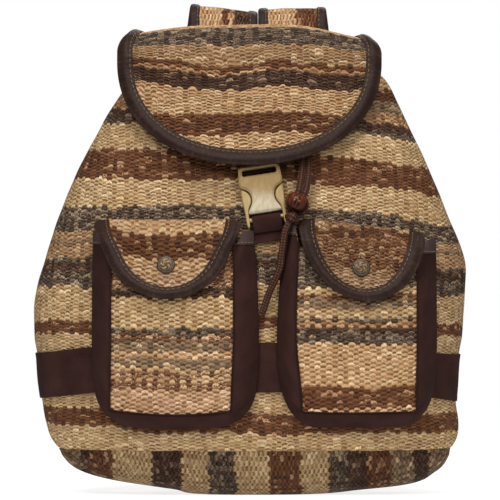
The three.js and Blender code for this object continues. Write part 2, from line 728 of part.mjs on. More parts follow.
// Webbing tab sewn under the lid, turned into the socket's slot from behind
function makeLidTab(parent) {
  const behind = BUCKLE.thick / 2 + GAP;
  const low = SOCKET_SLOT.z - WEB.thick / 2;
  const points = [
    [-1, low],
    [behind + 0.4, low],
    [behind + WEB.thick, low + 1],
    [behind + WEB.thick, BUCKLE.top + 2],
    [-0.4, WEB.lidEnd],
    [-0.4 - WEB.thick, WEB.lidEnd],
    [behind, BUCKLE.top + 1],
    [behind, low + WEB.thick + 0.4],
    [behind - 0.4, low + WEB.thick],
    [-1, low + WEB.thick],
  ];
  const shape = new THREE.Shape(points.map(([y, z]) => new THREE.Vector2(y, z)));
  addPiece("lid_tab", webbing(shape, WEB.width), MATERIALS.twill, parent);
}

// Webbing folded round the pronged half's bar and sewn down on the body in two steps
function makeBodyTab(parent) {
  const loop = PRONGS.barRadius + GAP;
  const outer = loop + WEB.thick;
  const seat = BUCKLE.stand - 2 * GAP;
  const over = circle(outer, 16, PRONGS.barZ).slice(0, 9);
  const sewn = [
    [seat - 2 * WEB.thick - 0.6, WEB.foldEnd],
    [seat - WEB.thick, WEB.foldEnd],
    [seat - WEB.thick, WEB.bodyEnd],
    [seat, WEB.bodyEnd],
  ].map(([y, z]) => new THREE.Vector2(y, z));
  const shape = new THREE.Shape([...over, ...sewn]);
  shape.holes.push(new THREE.Path(circle(loop, 12, PRONGS.barZ)));
  addPiece("body_tab", webbing(shape, WEB.width), MATERIALS.twill, parent);
}

function makeBuckle() {
  const above = bagFront(BUCKLE.x, BUCKLE.z + BUCKLE.span / 2);
  const below = bagFront(BUCKLE.x, BUCKLE.z - BUCKLE.span / 2);
  const slope = Math.atan2(above - below, BUCKLE.span);
  const leaning = new THREE.Group();
  leaning.position.copy(onFront({ x: BUCKLE.x, z: BUCKLE.z, lift: BUCKLE.stand }));
  leaning.rotation.x = -slope;
  const skewed = new THREE.Group();
  skewed.rotation.y = -radians(BUCKLE.skew);
  leaning.add(skewed);
  backpack.add(leaning);
  makeSocket(skewed);
  makeProngs(skewed);
  makeLidTab(skewed);
  makeBodyTab(skewed);
}

// Drawstring

function makeDrawstring() {
  const lean = radians(BEAD.lean);
  const axis = new THREE.Vector3(-Math.sin(lean), 0, -Math.cos(lean));
  const across = new THREE.Vector3(Math.cos(lean), 0, -Math.sin(lean));
  const middle = onFront(BEAD);

  const flatEnd = Math.asin(BEAD.bore / BEAD.radius);
  const angles = range(BEAD.steps, Math.PI - flatEnd, flatEnd);
  const round = angles.map((a) => new THREE.Vector2(Math.sin(a), Math.cos(a)));
  const outline = [...round, round[0]].map((point) => point.clone().multiplyScalar(BEAD.radius));
  const bead = addPiece("bead", new THREE.LatheGeometry(outline, BEAD.sides), MATERIALS.bead);
  bead.position.copy(middle);
  bead.quaternion.setFromUnitVectors(new THREE.Vector3(0, 1, 0), axis.clone().negate());

  const reach = BEAD.radius + 1;
  for (const [name, side] of [["drawstring_a", -1], ["drawstring_b", 1]]) {
    const apart = side * (STRAND_SPREAD + STRAND_EASE);
    const free = STRAND_ROUTE.map((row) => onFront(row).addScaledVector(across, apart));
    const held = range(3, HELD.from * reach, HELD.to * reach).map((t) =>
      middle.clone().addScaledVector(axis, t).addScaledVector(across, side * STRAND_SPREAD),
    );
    addPiece(name, tubeAlong([...free, ...held], CORD_RADIUS, STRAND_STEPS), MATERIALS.cord);
  }

  const knot = new THREE.SphereGeometry(1, 12, 8).scale(KNOT.wide, KNOT.wide, KNOT.high);
  addPiece("knot", knot, MATERIALS.cord).position.copy(onFront(KNOT));
  addPiece("drawstring_tail", tubeAlong(TAIL_ROUTE.map(onFront), CORD_RADIUS, TAIL_STEPS), MATERIALS.cord);
}

makeBody();
makeBottomPanel();
makeBand();
makeLid();
POCKETS.forEach(makePocket);
STRAPS.forEach(makeStrap);
makeBuckle();
makeDrawstring();

export default backpack;
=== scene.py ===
"""Kilim backpack: its cloth, leather, cord and buckle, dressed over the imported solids.

Sizes are in millimetres, as in the part's source, and become metres where a mesh is made.
X runs to the viewer's right, Y to the back and Z up.
"""
import logging
import math
from dataclasses import dataclass, field
from enum import Enum
from functools import cache
from typing import NamedTuple, Sequence

import bmesh
import bpy
import numpy as np
from mathutils import Matrix, Vector


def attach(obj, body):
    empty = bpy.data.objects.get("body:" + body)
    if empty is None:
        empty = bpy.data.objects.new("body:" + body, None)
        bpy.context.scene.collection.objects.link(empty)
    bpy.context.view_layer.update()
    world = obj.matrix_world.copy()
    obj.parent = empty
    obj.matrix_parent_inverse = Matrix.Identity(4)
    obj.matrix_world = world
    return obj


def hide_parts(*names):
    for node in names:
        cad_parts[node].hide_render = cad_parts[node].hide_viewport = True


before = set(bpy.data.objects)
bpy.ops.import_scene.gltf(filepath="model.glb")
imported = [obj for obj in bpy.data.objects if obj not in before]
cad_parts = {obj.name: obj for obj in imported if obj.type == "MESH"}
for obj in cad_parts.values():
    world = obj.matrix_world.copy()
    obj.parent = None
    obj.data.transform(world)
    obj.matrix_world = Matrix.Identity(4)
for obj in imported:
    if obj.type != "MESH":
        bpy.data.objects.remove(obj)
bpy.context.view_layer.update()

LOG = logging.getLogger("kilim_backpack")
MM = 0.001
BODY = "root"
CLOTH_MAP = "cloth"
CLOTH = 2.6
TWILL = 1.4
GAP = 0.4
ROUNDNESS = 2.3
TURN = 2 * math.pi
CREASE = math.radians(55)

Array = np.ndarray
Numbers = Array | float
Pair = tuple[float, float]
Triple = tuple[float, float, float]
Colour = Triple
Object = bpy.types.Object
Material = bpy.types.Material
Socket = bpy.types.NodeSocket


# Small mathematics


def smooth(value: Numbers, low: Numbers, high: Numbers) -> Array:
    """Eases from 0 at low to 1 at high."""
    share = np.clip((np.asarray(value) - low) / (high - low), 0, 1)
    return share * share * (3 - 2 * share)


def mix(start: Numbers, end: Numbers, share: Numbers) -> Array:
    """Goes from start to end as share goes from 0 to 1."""
    return start + (end - start) * share


def bell(value: Array, middle: float, width: float) -> Array:
    """A soft hump, 1 at its middle."""
    return np.exp(-(((value - middle) / width) ** 2))


def signed_power(value: Array, power: float) -> Array:
    """A power that keeps the sign."""
    return np.sign(value) * np.abs(value) ** power


def unit(vectors: Array) -> Array:
    """Vectors of length one, along the last axis."""
    return vectors / np.maximum(np.linalg.norm(vectors, axis=-1, keepdims=True), 1e-9)


def points(*parts: Numbers) -> Array:
    """Stacks coordinates into points along a new last axis."""
    return np.stack(np.broadcast_arrays(*parts), axis=-1).astype(float)


def through_table(knots: Array, values: Array, at: Array) -> Array:
    """Reads a smooth curve through a table.

    Args:
        knots: Rising places of the table's rows.
        values: One value for each row.
        at: Places to read.

    Returns:
        The curve's values.
    """
    secants = np.diff(values) / np.diff(knots)
    slopes = np.concatenate([secants[:1], (secants[1:] + secants[:-1]) / 2, secants[-1:]])
    row = np.clip(np.searchsorted(knots, at) - 1, 0, len(knots) - 2)
    step = knots[row + 1] - knots[row]
    t = np.clip((at - knots[row]) / step, 0, 1)
    start, end = values[row], values[row + 1]
    bend = (slopes[row] * (1 - t) - slopes[row + 1] * t) * step * t * (1 - t)
    return mix(start, end, t * t * (3 - 2 * t)) + bend


def along_route(route: Array, steps: int) -> Array:
    """Runs a smooth curve through a route's points.

    Args:
        route: Points that the curve passes.
        steps: Steps from each point to the next.

    Returns:
        Points of the curve.
    """
    padded = np.vstack([2 * route[0] - route[1], route, 2 * route[-1] - route[-2]])
    t = np.linspace(0, 1, steps, endpoint=False)[:, None]
    curve = []
    for a, b, c, d in zip(padded, padded[1:], padded[2:], padded[3:]):
        before, here, after = (math.sqrt(np.linalg.norm(q - p)) for p, q in ((a, b), (b, c), (c, d)))
        leave = ((b - a) / before - (c - a) / (before + here) + (c - b) / here) * here
        arrive = ((c - b) / here - (d - b) / (here + after) + (d - c) / after) * here
        blend = t * t * (3 - 2 * t)
        curve.append(mix(b, c, blend) + (leave * (1 - t) - arrive * t) * t * (1 - t))
    return np.vstack([*curve, route[-1:]])


def lengths(line: Array) -> Array:
    """Distance along a line from its start to each of its points."""
    return np.concatenate([[0], np.cumsum(np.linalg.norm(np.diff(line, axis=0), axis=1))])


def between(marks: Array, run: Array, line: Array) -> Array:
    """Points of a line at marks, where run gives the mark of each of its own points."""
    return np.stack([np.interp(marks, run, line[:, axis]) for axis in range(3)], axis=1)


def evenly(line: Array, step: float) -> Array:
    """Places points at an even distance along a line."""
    run = lengths(line)
    return between(np.linspace(0, run[-1], max(int(run[-1] / step), 2)), run, line)


def angles(count: int) -> Array:
    """Even angles of a full turn, from 0."""
    return np.arange(count) / count * TURN


def from_middle(rows: Array) -> Array:
    """Length along each row of a grid of points, counted from its middle column."""
    run = np.pad(np.cumsum(np.linalg.norm(np.diff(rows, axis=1), axis=2), axis=1), ((0, 0), (1, 0)))
    return run - run[:, run.shape[1] // 2][:, None]


def handwoven(u: Array, v: Array, seed: int, loose: float = 1.0) -> Array:
    """Cloth coordinates with the unevenness of a hand loom.

    Args:
        u: Length along the weft.
        v: Length across the stripes.
        seed: Picks the unevenness.
        loose: How uneven the cloth is.

    Returns:
        The coordinates as pairs.
    """
    along = 1.5 * ripple(u, v, 19, seed + 1) + 0.7 * ripple(u, v, 9, seed + 3)
    across = 1.6 * ripple(u, v, 80, seed) + 0.9 * ripple(u, v, 13, seed + 2)
    across = across + 0.4 * ripple(u, v, 6, seed + 4)
    return points(u + loose * along, v + loose * across)


def ripple(u: Array, v: Array, size: float, seed: int) -> Array:
    """Soft unevenness from -1 to 1.

    Args:
        u: First coordinate on the surface.
        v: Second coordinate on the surface.
        size: Length of a typical wave.
        seed: Picks the waves.

    Returns:
        The height at each place.
    """
    draw = np.random.default_rng(seed)
    total = 0.0
    waves = 7
    shortest, longest = 0.7, 1.6
    usual_peak = 0.6
    for _ in range(waves):
        heading, phase = draw.uniform(0, TURN, 2)
        rate = TURN / (size * draw.uniform(shortest, longest))
        total = total + np.sin(rate * (u * math.cos(heading) + v * math.sin(heading)) + phase)
    return total / (waves * usual_peak)


# Meshes


def quads(grid: Array) -> Array:
    """Corner numbers of the quads of a grid of numbers."""
    return np.stack([grid[:-1, :-1], grid[:-1, 1:], grid[1:, 1:], grid[1:, :-1]], -1).reshape(-1, 4)


def strip(near: Array, away: Array) -> Array:
    """Quads between two lines of numbers."""
    return np.stack([near[:-1], away[:-1], away[1:], near[1:]], -1)


def closed(grid: Array) -> Array:
    """A grid with its first column set again at its end."""
    return np.concatenate([grid, grid[:, :1]], axis=1)


def numbered(cloth: Array) -> tuple[Array, Array]:
    """The numbers of a grid's places, and its cloth coordinates as a list."""
    return np.arange(cloth.shape[0] * cloth.shape[1]).reshape(cloth.shape[:2]), cloth.reshape(-1, 2)


class MeshMaker:
    """Collects points and faces and turns them into one object."""

    def __init__(self) -> None:
        """Starts empty."""
        self.corners: list[Array] = []
        self.count = 0
        self.faces: list[tuple[Array, Array]] = []

    def add_points(self, place: Array) -> Array:
        """Adds points in millimetres.

        Args:
            place: A grid of points.

        Returns:
            Their numbers, in the grid's shape.
        """
        flat = place.reshape(-1, 3)
        numbers = np.arange(self.count, self.count + len(flat)).reshape(place.shape[:-1])
        self.corners.append(flat)
        self.count += len(flat)
        return numbers

    def add_faces(self, faces: Array, cloth: Array) -> None:
        """Adds faces with their cloth coordinates, one pair for each corner."""
        self.faces.append((faces, cloth))

    def make(self, name: str) -> Object:
        """Makes the object, with its faces turned outwards.

        Args:
            name: Name of the piece.

        Returns:
            The object, linked to the scene.
        """
        place = np.vstack(self.corners)
        corner_lists = [f.reshape(-1) for f, _ in self.faces]
        sizes = np.concatenate([np.full(len(f), f.shape[1]) for f, _ in self.faces])
        starts = np.concatenate([[0], np.cumsum(sizes)[:-1]])
        numbers = np.concatenate(corner_lists)
        cloth = np.vstack([c.reshape(-1, 2) for _, c in self.faces])
        mesh = bpy.data.meshes.new(name)
        mesh.vertices.add(len(place))
        mesh.vertices.foreach_set("co", (place * MM).ravel())
        mesh.loops.add(len(numbers))
        mesh.loops.foreach_set("vertex_index", numbers.astype(np.int32))
        mesh.polygons.add(len(sizes))
        mesh.polygons.foreach_set("loop_start", starts.astype(np.int32))
        mesh.update(calc_edges=True)
        layer = mesh.uv_layers.new(name=CLOTH_MAP)
        layer.uv.foreach_set("vector", cloth.astype(np.float32).ravel())
        turn_outwards(mesh)
        mesh.polygons.foreach_set("use_smooth", np.ones(len(sizes), bool))
        mesh.set_sharp_from_angle(angle=CREASE)
        return link(bpy.data.objects.new(name, mesh))


def turn_outwards(mesh: bpy.types.Mesh) -> None:
    """Flips a closed mesh's faces if its volume is negative.

    Args:
        mesh: The mesh.
    """
    shape = bmesh.new()
    shape.from_mesh(mesh)
    if shape.calc_volume(signed=True) < 0:
        mesh.flip_normals()
    shape.free()


def link(piece: Object) -> Object:
    """Puts an object in the scene."""
    bpy.context.scene.collection.objects.link(piece)
    return piece


def shell(name: str, outer: Array, inner: Array, cloth: Array, ring: bool = False) -> Object:
    """Makes a sheet with thickness from two skins of the same grid.

    Args:
        name: Name of the piece.
        outer: Grid of points of the outer skin.
        inner: Grid of points of the inner skin.
        cloth: Grid of cloth coordinates, with one column more where the sheet is a ring.
        ring: Whether the last column joins the first.

    Returns:
        The closed sheet.
    """
    maker = MeshMaker()
    near, far = maker.add_points(outer), maker.add_points(inner)
    if ring:
        near, far = closed(near), closed(far)
    marks, pairs = numbered(cloth)
    maker.add_faces(quads(near), pairs[quads(marks)])
    maker.add_faces(quads(far)[:, ::-1], pairs[quads(marks)[:, ::-1]])
    rims = [(near[0], far[0], marks[0], 1), (near[-1], far[-1], marks[-1], -1)]
    if not ring:
        rims += [(near[:, 0], far[:, 0], marks[:, 0], -1), (near[:, -1], far[:, -1], marks[:, -1], 1)]
    for inside, outside, mark, way in rims:
        maker.add_faces(strip(inside, outside)[:, ::way], pairs[strip(mark, mark)[:, ::way]])
    return maker.make(name)


def add_sweep(maker: MeshMaker, rings: Array, cloth: Array) -> MeshMaker:
    """Adds a closed section carried through rings, with flat ends.

    Args:
        maker: Takes the faces.
        rings: Points as rings by section points.
        cloth: Cloth coordinates, with one section point more than the rings have.

    Returns:
        The maker.
    """
    numbers = maker.add_points(rings)
    marks, pairs = numbered(cloth)
    maker.add_faces(quads(closed(numbers)), pairs[quads(marks)])
    maker.add_faces(numbers[:1, ::-1], pairs[marks[:1, -2::-1]])
    maker.add_faces(numbers[-1:], pairs[marks[-1:, :-1]])
    return maker


def sweep(name: str, rings: Array, cloth: Array) -> Object:
    """Makes one swept piece from add_sweep."""
    return add_sweep(MeshMaker(), rings, cloth).make(name)


def carried_frames(path: Array) -> tuple[Array, Array]:
    """Carries two directions square to a path along it without twisting.

    Args:
        path: Points of the path.

    Returns:
        The two directions at each point.
    """
    ahead = unit(np.gradient(path, axis=0))
    askew = (0.31, 0.87, 0.38)
    side = np.cross(ahead[0], askew)
    sides = []
    for way in ahead:
        side = unit(side - way * np.dot(side, way))
        sides.append(side)
    first = np.array(sides)
    return first, np.cross(ahead, first)


def spokes(first: Array, second: Array, angle: Array) -> Array:
    """Directions at angles between two square directions, as one more axis."""
    return first[..., None, :] * np.cos(angle)[:, None] + second[..., None, :] * np.sin(angle)[:, None]


def tube(path: Array, radius: Array, sides: int) -> tuple[Array, Array]:
    """Round rings along a path, and their cloth coordinates as turn share and length."""
    rings = path[:, None] + spokes(*carried_frames(path), angles(sides)) * radius[..., None]
    return rings, points(*np.meshgrid(np.arange(sides + 1) / sides, lengths(path)))


def disc(count: int) -> tuple[Array, Array]:
    """Distance from the middle, 0 to 1, and angle of a square grid's points spread over a disc."""
    x, y = np.meshgrid(*[np.linspace(-1, 1, count)] * 2)
    return np.maximum(np.abs(x), np.abs(y)), np.arctan2(y, x)


# Shader graphs


class Val:
    """A number in a material's graph. Arithmetic on it adds Math nodes."""

    def __init__(self, graph: "Graph", out: Socket) -> None:
        """Wraps one output of the graph."""
        self.graph = graph
        self.out = out

    def math(self, operation: str, *others: "Val | float") -> "Val":
        """Adds a Math node that takes this value first."""
        return self.graph.math(operation, self, *others)

    def __add__(self, other: "Val | float") -> "Val":
        """Sum."""
        return self.math("ADD", other)

    def __sub__(self, other: "Val | float") -> "Val":
        """Difference."""
        return self.math("SUBTRACT", other)

    def __rsub__(self, other: float) -> "Val":
        """Difference from a number."""
        return self.graph.math("SUBTRACT", other, self)

    def __mul__(self, other: "Val | float") -> "Val":
        """Product."""
        return self.math("MULTIPLY", other)

    def __truediv__(self, other: "Val | float") -> "Val":
        """Quotient."""
        return self.math("DIVIDE", other)

    def __rtruediv__(self, other: float) -> "Val":
        """Quotient of a number and this value."""
        return self.graph.math("DIVIDE", other, self)

    def __pow__(self, power: float) -> "Val":
        """Power."""
        return self.math("POWER", power)

    def __rpow__(self, base: float) -> "Val":
        """Power of a number."""
        return self.graph.math("POWER", base, self)

    __radd__ = __add__
    __rmul__ = __mul__

    def floor(self) -> "Val":
        """The whole number below."""
        return self.math("FLOOR")

    def fract(self) -> "Val":
        """The part after the whole number."""
        return self.math("FRACT")

    def cosine(self) -> "Val":
        """Cosine of an angle."""
        return self.math("COSINE")

    def maximum(self, other: "Val | float") -> "Val":
        """The larger of two values."""
        return self.math("MAXIMUM", other)

    def above(self, limit: "Val | float") -> "Val":
        """1 where the value is over a limit, else 0."""
        return self.math("GREATER_THAN", limit)

    def eased(self, low: float, high: float) -> "Val":
        """Eases from 0 at low to 1 at high."""
        inputs = {0: self, 1: low, 2: high}
        return self.graph.value("ShaderNodeMapRange", {"interpolation_type": "SMOOTHSTEP"}, inputs)


class Graph:
    """The node graph of one material, or of the surroundings."""

    def __init__(self, name: str, store: str = "materials") -> None:
        """Makes the material with its surface shader.

        Args:
            name: Name of the material.
            store: Where it is kept: materials, or worlds for surroundings.
        """
        self.owner = getattr(bpy.data, store).new(name)
        self.owner.use_nodes = True
        self.tree = self.owner.node_tree
        self.shader = next(n for n in self.tree.nodes if n.type in ("BSDF_PRINCIPLED", "BACKGROUND"))

    def put(self, socket: Socket, value: object) -> None:
        """Links a socket, or sets its plain value.

        Args:
            socket: The socket.
            value: A value of the graph, an output, a number or a colour.
        """
        out = value.out if isinstance(value, Val) else value
        if isinstance(out, Socket):
            self.tree.links.new(out, socket)
        elif socket.type == "RGBA":
            socket.default_value = (*out, 1)
        else:
            socket.default_value = out

    def node(self, kind: str, settings: dict, inputs: dict) -> bpy.types.Node:
        """Adds any node.

        Args:
            kind: The node's type.
            settings: Its settings, set first. The stops of a ramp are pairs of place and colour.
            inputs: Values or links by socket name or number.

        Returns:
            The node.
        """
        made = self.tree.nodes.new(kind)
        for key, value in settings.items():
            if key == "stops":
                fill_ramp(made.color_ramp, value)
            else:
                setattr(made, key, value)
        for key, value in inputs.items():
            self.put(made.inputs[key], value)
        return made

    def value(self, kind: str, settings: dict, inputs: dict, out: int | str = 0) -> Val:
        """Adds a node and takes one of its outputs as a value."""
        return Val(self, self.node(kind, settings, inputs).outputs[out])

    def math(self, operation: str, *values: Val | float) -> Val:
        """Adds a Math node over values or numbers."""
        return self.value("ShaderNodeMath", {"operation": operation}, dict(enumerate(values)))

    def parts(self, vector: Socket) -> list[Val]:
        """The three numbers of a vector."""
        return [Val(self, out) for out in self.node("ShaderNodeSeparateXYZ", {}, {0: vector}).outputs]

    def cloth(self) -> tuple[Val, Val]:
        """The two cloth coordinates, in millimetres."""
        u, v, _ = self.parts(self.node("ShaderNodeUVMap", {"uv_map": CLOTH_MAP}, {}).outputs[0])
        return u, v

    def place(self) -> list[Val]:
        """The three coordinates in the object's frame, in millimetres."""
        mapped = self.node("ShaderNodeTexCoord", {}, {})
        return [part / MM for part in self.parts(mapped.outputs["Object"])]

    def seen(self) -> Val:
        """1 for what the camera sees straight on, 0 for what only throws light."""
        return self.value("ShaderNodeLightPath", {}, {}, "Is Camera Ray")

    def vector(self, x: Val | float, y: Val | float, z: Val | float = 0.0) -> Socket:
        """Joins three values."""
        return self.node("ShaderNodeCombineXYZ", {}, {0: x, 1: y, 2: z}).outputs[0]

    def noise(self, x: Val, y: Val, rate: float, detail: float = 2.0, z: Val | float = 0.0) -> Val:
        """Soft noise around 0.5, with rate waves in a millimetre."""
        inputs = {"Vector": self.vector(x, y, z), "Scale": rate, "Detail": detail}
        return self.value("ShaderNodeTexNoise", {}, inputs)

    def lot(self, x: Val, y: Val, z: Val | float) -> Val:
        """One random number for each whole place."""
        return self.value("ShaderNodeTexWhiteNoise", {}, {"Vector": self.vector(x, y, z)})

    def cells(self, x: Val, y: Val, rate: float) -> Val:
        """Distance from the middle of the nearest cell."""
        inputs = {"Vector": self.vector(x, y), "Scale": rate}
        return self.value("ShaderNodeTexVoronoi", {"feature": "F1", "voronoi_dimensions": "2D"}, inputs)

    def ramp(self, share: Val, stops: Sequence[tuple[float, Colour]]) -> Socket:
        """Picks a colour from a row of bands."""
        return self.node("ShaderNodeValToRGB", {"stops": stops}, {0: share}).outputs[0]

    def blend(self, share: Val, first: Socket | Colour, second: Socket | Colour) -> Socket:
        """Mixes two colours."""
        inputs = {0: share, 6: first, 7: second}
        return self.node("ShaderNodeMix", {"data_type": "RGBA"}, inputs).outputs[2]

    def times(self, colour: Socket, shade: Socket) -> Socket:
        """Multiplies a colour by a shade, channel by channel."""
        return self.node("ShaderNodeVectorMath", {"operation": "MULTIPLY"}, {0: colour, 1: shade}).outputs[0]

    def scaled(self, colour: Socket | Colour, amount: Val) -> Socket:
        """Makes a colour lighter or darker."""
        inputs = {0: colour, "Scale": amount}
        return self.node("ShaderNodeVectorMath", {"operation": "SCALE"}, inputs).outputs[0]

    def raise_by(self, height: Val, depth: float) -> None:
        """Shades the surface as if raised by a height of 0 to 1 over a depth in millimetres."""
        inputs = {"Strength": 1.0, "Distance": depth * MM, "Height": height}
        self.put(self.shader.inputs["Normal"], self.node("ShaderNodeBump", {}, inputs).outputs[0])

    def surface(self, **sockets: object) -> Material | bpy.types.World:
        """Sets the shader's sockets.

        Args:
            **sockets: Values by socket name, with an underscore for each space.

        Returns:
            The finished material or surroundings.
        """
        for key, value in sockets.items():
            self.put(self.shader.inputs[key.replace("_", " ")], value)
        return self.owner


def fill_ramp(ramp: bpy.types.ColorRamp, stops: Sequence[tuple[float, Colour]]) -> None:
    """Sets a ramp's bands, each of one colour from its place up to the next.

    Args:
        ramp: The ramp, new and with two stops.
        stops: Place and colour of each band.
    """
    ramp.interpolation = "CONSTANT"
    for number, (place, colour) in enumerate(stops):
        if number < 2:
            stop = ramp.elements[number]
            stop.position = place
        else:
            stop = ramp.elements.new(place)
        stop.color = (*colour, 1)


def tint(red: int, green: int, blue: int) -> Colour:
    """A colour as the shader takes it, from its screen values."""
    parts = (c / 255 for c in (red, green, blue))
    return tuple(p / 12.92 if p <= 0.04045 else ((p + 0.055) / 1.055) ** 2.4 for p in parts)


# Finishes


class Yarn(Enum):
    """Handspun yarns: the main colour, that of its flecks and that of stray grains."""

    CREAM = (tint(204, 165, 122), tint(174, 129, 86), tint(214, 178, 134))
    STRAW = (tint(202, 168, 124), tint(168, 131, 88), tint(216, 184, 138))
    TAN = (tint(180, 138, 98), tint(126, 86, 58), tint(214, 176, 132))
    ROSE = (tint(199, 159, 121), tint(166, 124, 92), tint(212, 172, 134))
    FAWN = (tint(178, 141, 102), tint(150, 112, 76), tint(206, 172, 132))
    TWEED = (tint(112, 74, 52), tint(202, 162, 120), tint(160, 120, 86))
    RUSSET = (tint(120, 77, 49), tint(164, 119, 82), tint(188, 144, 104))
    BROWN = (tint(116, 74, 47), tint(80, 51, 36), tint(174, 132, 96))
    UMBER = (tint(69, 48, 37), tint(99, 73, 55), tint(140, 110, 86))
    CHARCOAL = (tint(76, 61, 50), tint(134, 112, 90), tint(164, 140, 110))
    ASH = (tint(152, 123, 93), tint(92, 74, 58), tint(198, 166, 126))


CREAM, STRAW, TAN, ROSE, FAWN, TWEED, RUSSET, BROWN, UMBER, CHARCOAL, ASH = Yarn


Chart = tuple[tuple[float, Yarn], ...]  # where each band starts and its yarn, from the low end up


def table(*rows: tuple[float, ...]) -> Array:
    """Starts a dataclass field as an array of rows."""
    return field(default_factory=lambda: np.array(rows))


@dataclass(frozen=True)
class Finish:
    """A finish of the part, made once as a material."""

    name: str

    def make(self) -> Material:
        """Builds the material."""
        raise NotImplementedError


@dataclass(frozen=True)
class Kilim(Finish):
    """Weft-faced wool: arched grains in staggered columns, striped by a chart."""

    chart: Chart
    grain: float = 9.2
    row: float = 1.48
    bow: float = 7.0
    ragged: float = 0.7
    fleck_share: float = 0.3
    stray_share: float = 0.1
    picks: float = 0.4
    tone: float = 1.0
    depth: float = 0.8
    narrowing: float = 3.0
    crowding: float = 24.0
    rounding: float = 1.9
    melting: float = 0.35
    usual_shade: float = 0.9
    lightness: float = 0.81
    # The powers warm the darker shades: painted light bounced between the yarns.
    warmth: Pair = (0.2, 0.45)  # powers of the shade in green and in blue
    hair: Pair = (0.65, 1.9)  # rates along and across
    slub: Pair = (0.05, 0.6)  # rates along and across
    stain_rate: float = 0.014
    # rate of the patches where the painted hollow shade is deeper
    hollow_shade_rate: float = 0.11
    darkest: float = 0.05
    roughness: float = 0.92
    gloss: float = 0.12

    def relief(self, u: Array, v: Array) -> Array:
        """Height of the grains, up to 1, for a mesh that is fine enough to show them.

        Args:
            u: Place along the weft.
            v: Place across the stripes.

        Returns:
            The height at each place.
        """
        heights, ranks = [], []
        for odd in (0.0, 0.5):
            along = u / self.grain + odd
            bent = (along - np.floor(along) - 0.5) ** 2
            up = (v + self.bow * bent) / (2 * self.row) + odd
            rise = (up - np.floor(up) - 0.5) * 2
            heights.append(1 - self.narrowing * bent - self.rounding * rise**2)
            ranks.append(1 - self.crowding * bent - self.rounding * rise**2)
        return mix(*heights, smooth(ranks[1] - ranks[0], -self.melting, self.melting))

    def make(self) -> Material:
        """Builds the material.

        Returns:
            The material.
        """
        graph = Graph(self.name)
        u, v = graph.cloth()
        grains = [self.grains(graph, u, v, odd) for odd in (0.0, 1.0)]
        (low, low_rank, low_row, low_lot), (high, high_rank, high_row, high_lot) = grains
        over = high_rank.above(low_rank)
        height = low + (high_rank - low_rank).eased(-self.melting, self.melting) * (high - low)
        row = low_row + over * (high_row - low_row)
        lot = low_lot + over * (high_lot - low_lot)
        fibre = graph.noise(u * self.hair[0], v * self.hair[1], 1.0, 3.0)
        spun = graph.noise(u * self.slub[0], row * self.slub[1], 1.0, 2.0)
        colour = self.striped(graph, row, lot, over, fibre * 1.5 + spun * 0.5)
        stain_and_shade = graph.noise(u, v, self.stain_rate, 3.0)
        # Patches where the painted shade in the hollows is deeper.
        hollow_shade_patches = graph.noise(u, v, self.hollow_shade_rate, 2.0).eased(0.3, 0.7)
        tone = (0.82 + 0.36 * (lot * 7.3).fract()) * (2.2 * fibre - 0.1) * (0.6 + 0.4 * stain_and_shade + 0.4 * spun)
        # Painted shade: the hollows between the grains are darkened in the colour, more in some patches.
        sunk = 1.0 - (1.0 - height.eased(-0.1, 0.6)) * (0.2 + 0.5 * hollow_shade_patches)
        graph.raise_by(height.maximum(-0.2) + fibre * 0.5, self.depth)
        rich = (tone * sunk / self.usual_shade).maximum(self.darkest)
        shade = rich * (self.lightness * self.tone)
        # Darker grains and the painted hollow shade turn warmer: painted light bounced between the yarns.
        green, blue = (shade * rich**power for power in self.warmth)
        return graph.surface(
            Base_Color=graph.times(colour, graph.vector(shade, green, blue)),
            Roughness=self.roughness,
            Specular_IOR_Level=self.gloss,
        )

    def grains(self, graph: Graph, u: Val, v: Val, odd: float) -> tuple[Val, Val, Val, Val]:
        """Lays one of the two staggered families of grains.

        Args:
            graph: The material's graph.
            u: Place along the weft.
            v: Place across the stripes.
            odd: 0 for the even columns, 1 for the odd ones.

        Returns:
            The grains' height, their rank over the other family, the middle of their row, and a random
            number for each grain.
        """
        along = u / self.grain + odd * 0.5
        column = along.floor()
        across = along - column - 0.5
        bent = across * across
        up = (v + bent * self.bow) / (2 * self.row) + odd * 0.5
        line = up.floor()
        rise = (up - line - 0.5) * 2.0
        lot = graph.lot(column, line, odd + 0.5)
        height = 0.9 + 0.2 * lot - bent * self.narrowing - rise * rise * self.rounding
        rank = height - bent * (self.crowding - self.narrowing)
        middle = (line + 0.5 - odd * 0.5) * (2 * self.row)
        return height, rank, middle, lot

    def striped(self, graph: Graph, row: Val, lot: Val, odd: Val, drift: Val) -> Socket:
        """Colours each grain from the chart by its row, with flecks and stray grains.

        Args:
            graph: The material's graph.
            row: Middle of the grain's row.
            lot: The grain's random number.
            odd: 1 in the odd columns, which take more of the fleck, else 0.
            drift: Noise around 1 that gathers the flecks in streaks.

        Returns:
            The grain's colour.
        """
        low = self.chart[0][0]
        span = self.chart[-1][0] - low
        share = (row + (lot - 0.5) * (self.ragged * self.row) - low) / span
        bands = [((start - low) / span, yarn.value) for start, yarn in self.chart[:-1]]
        main, fleck, stray = (graph.ramp(share, [(at, shades[k]) for at, shades in bands]) for k in range(3))
        mixed = (lot * 3.7).fract() * (1 - self.picks) + odd * self.picks + (drift - 1.0) * 2.2
        flecked = graph.blend(mixed.eased(0.8 - self.fleck_share, 1.2 - self.fleck_share), main, fleck)
        chance = (lot * 17.3).fract() + (drift - 1.0) * 0.5
        return graph.blend(chance.eased(0.98 - self.stray_share, 1.02 - self.stray_share), flecked, stray)


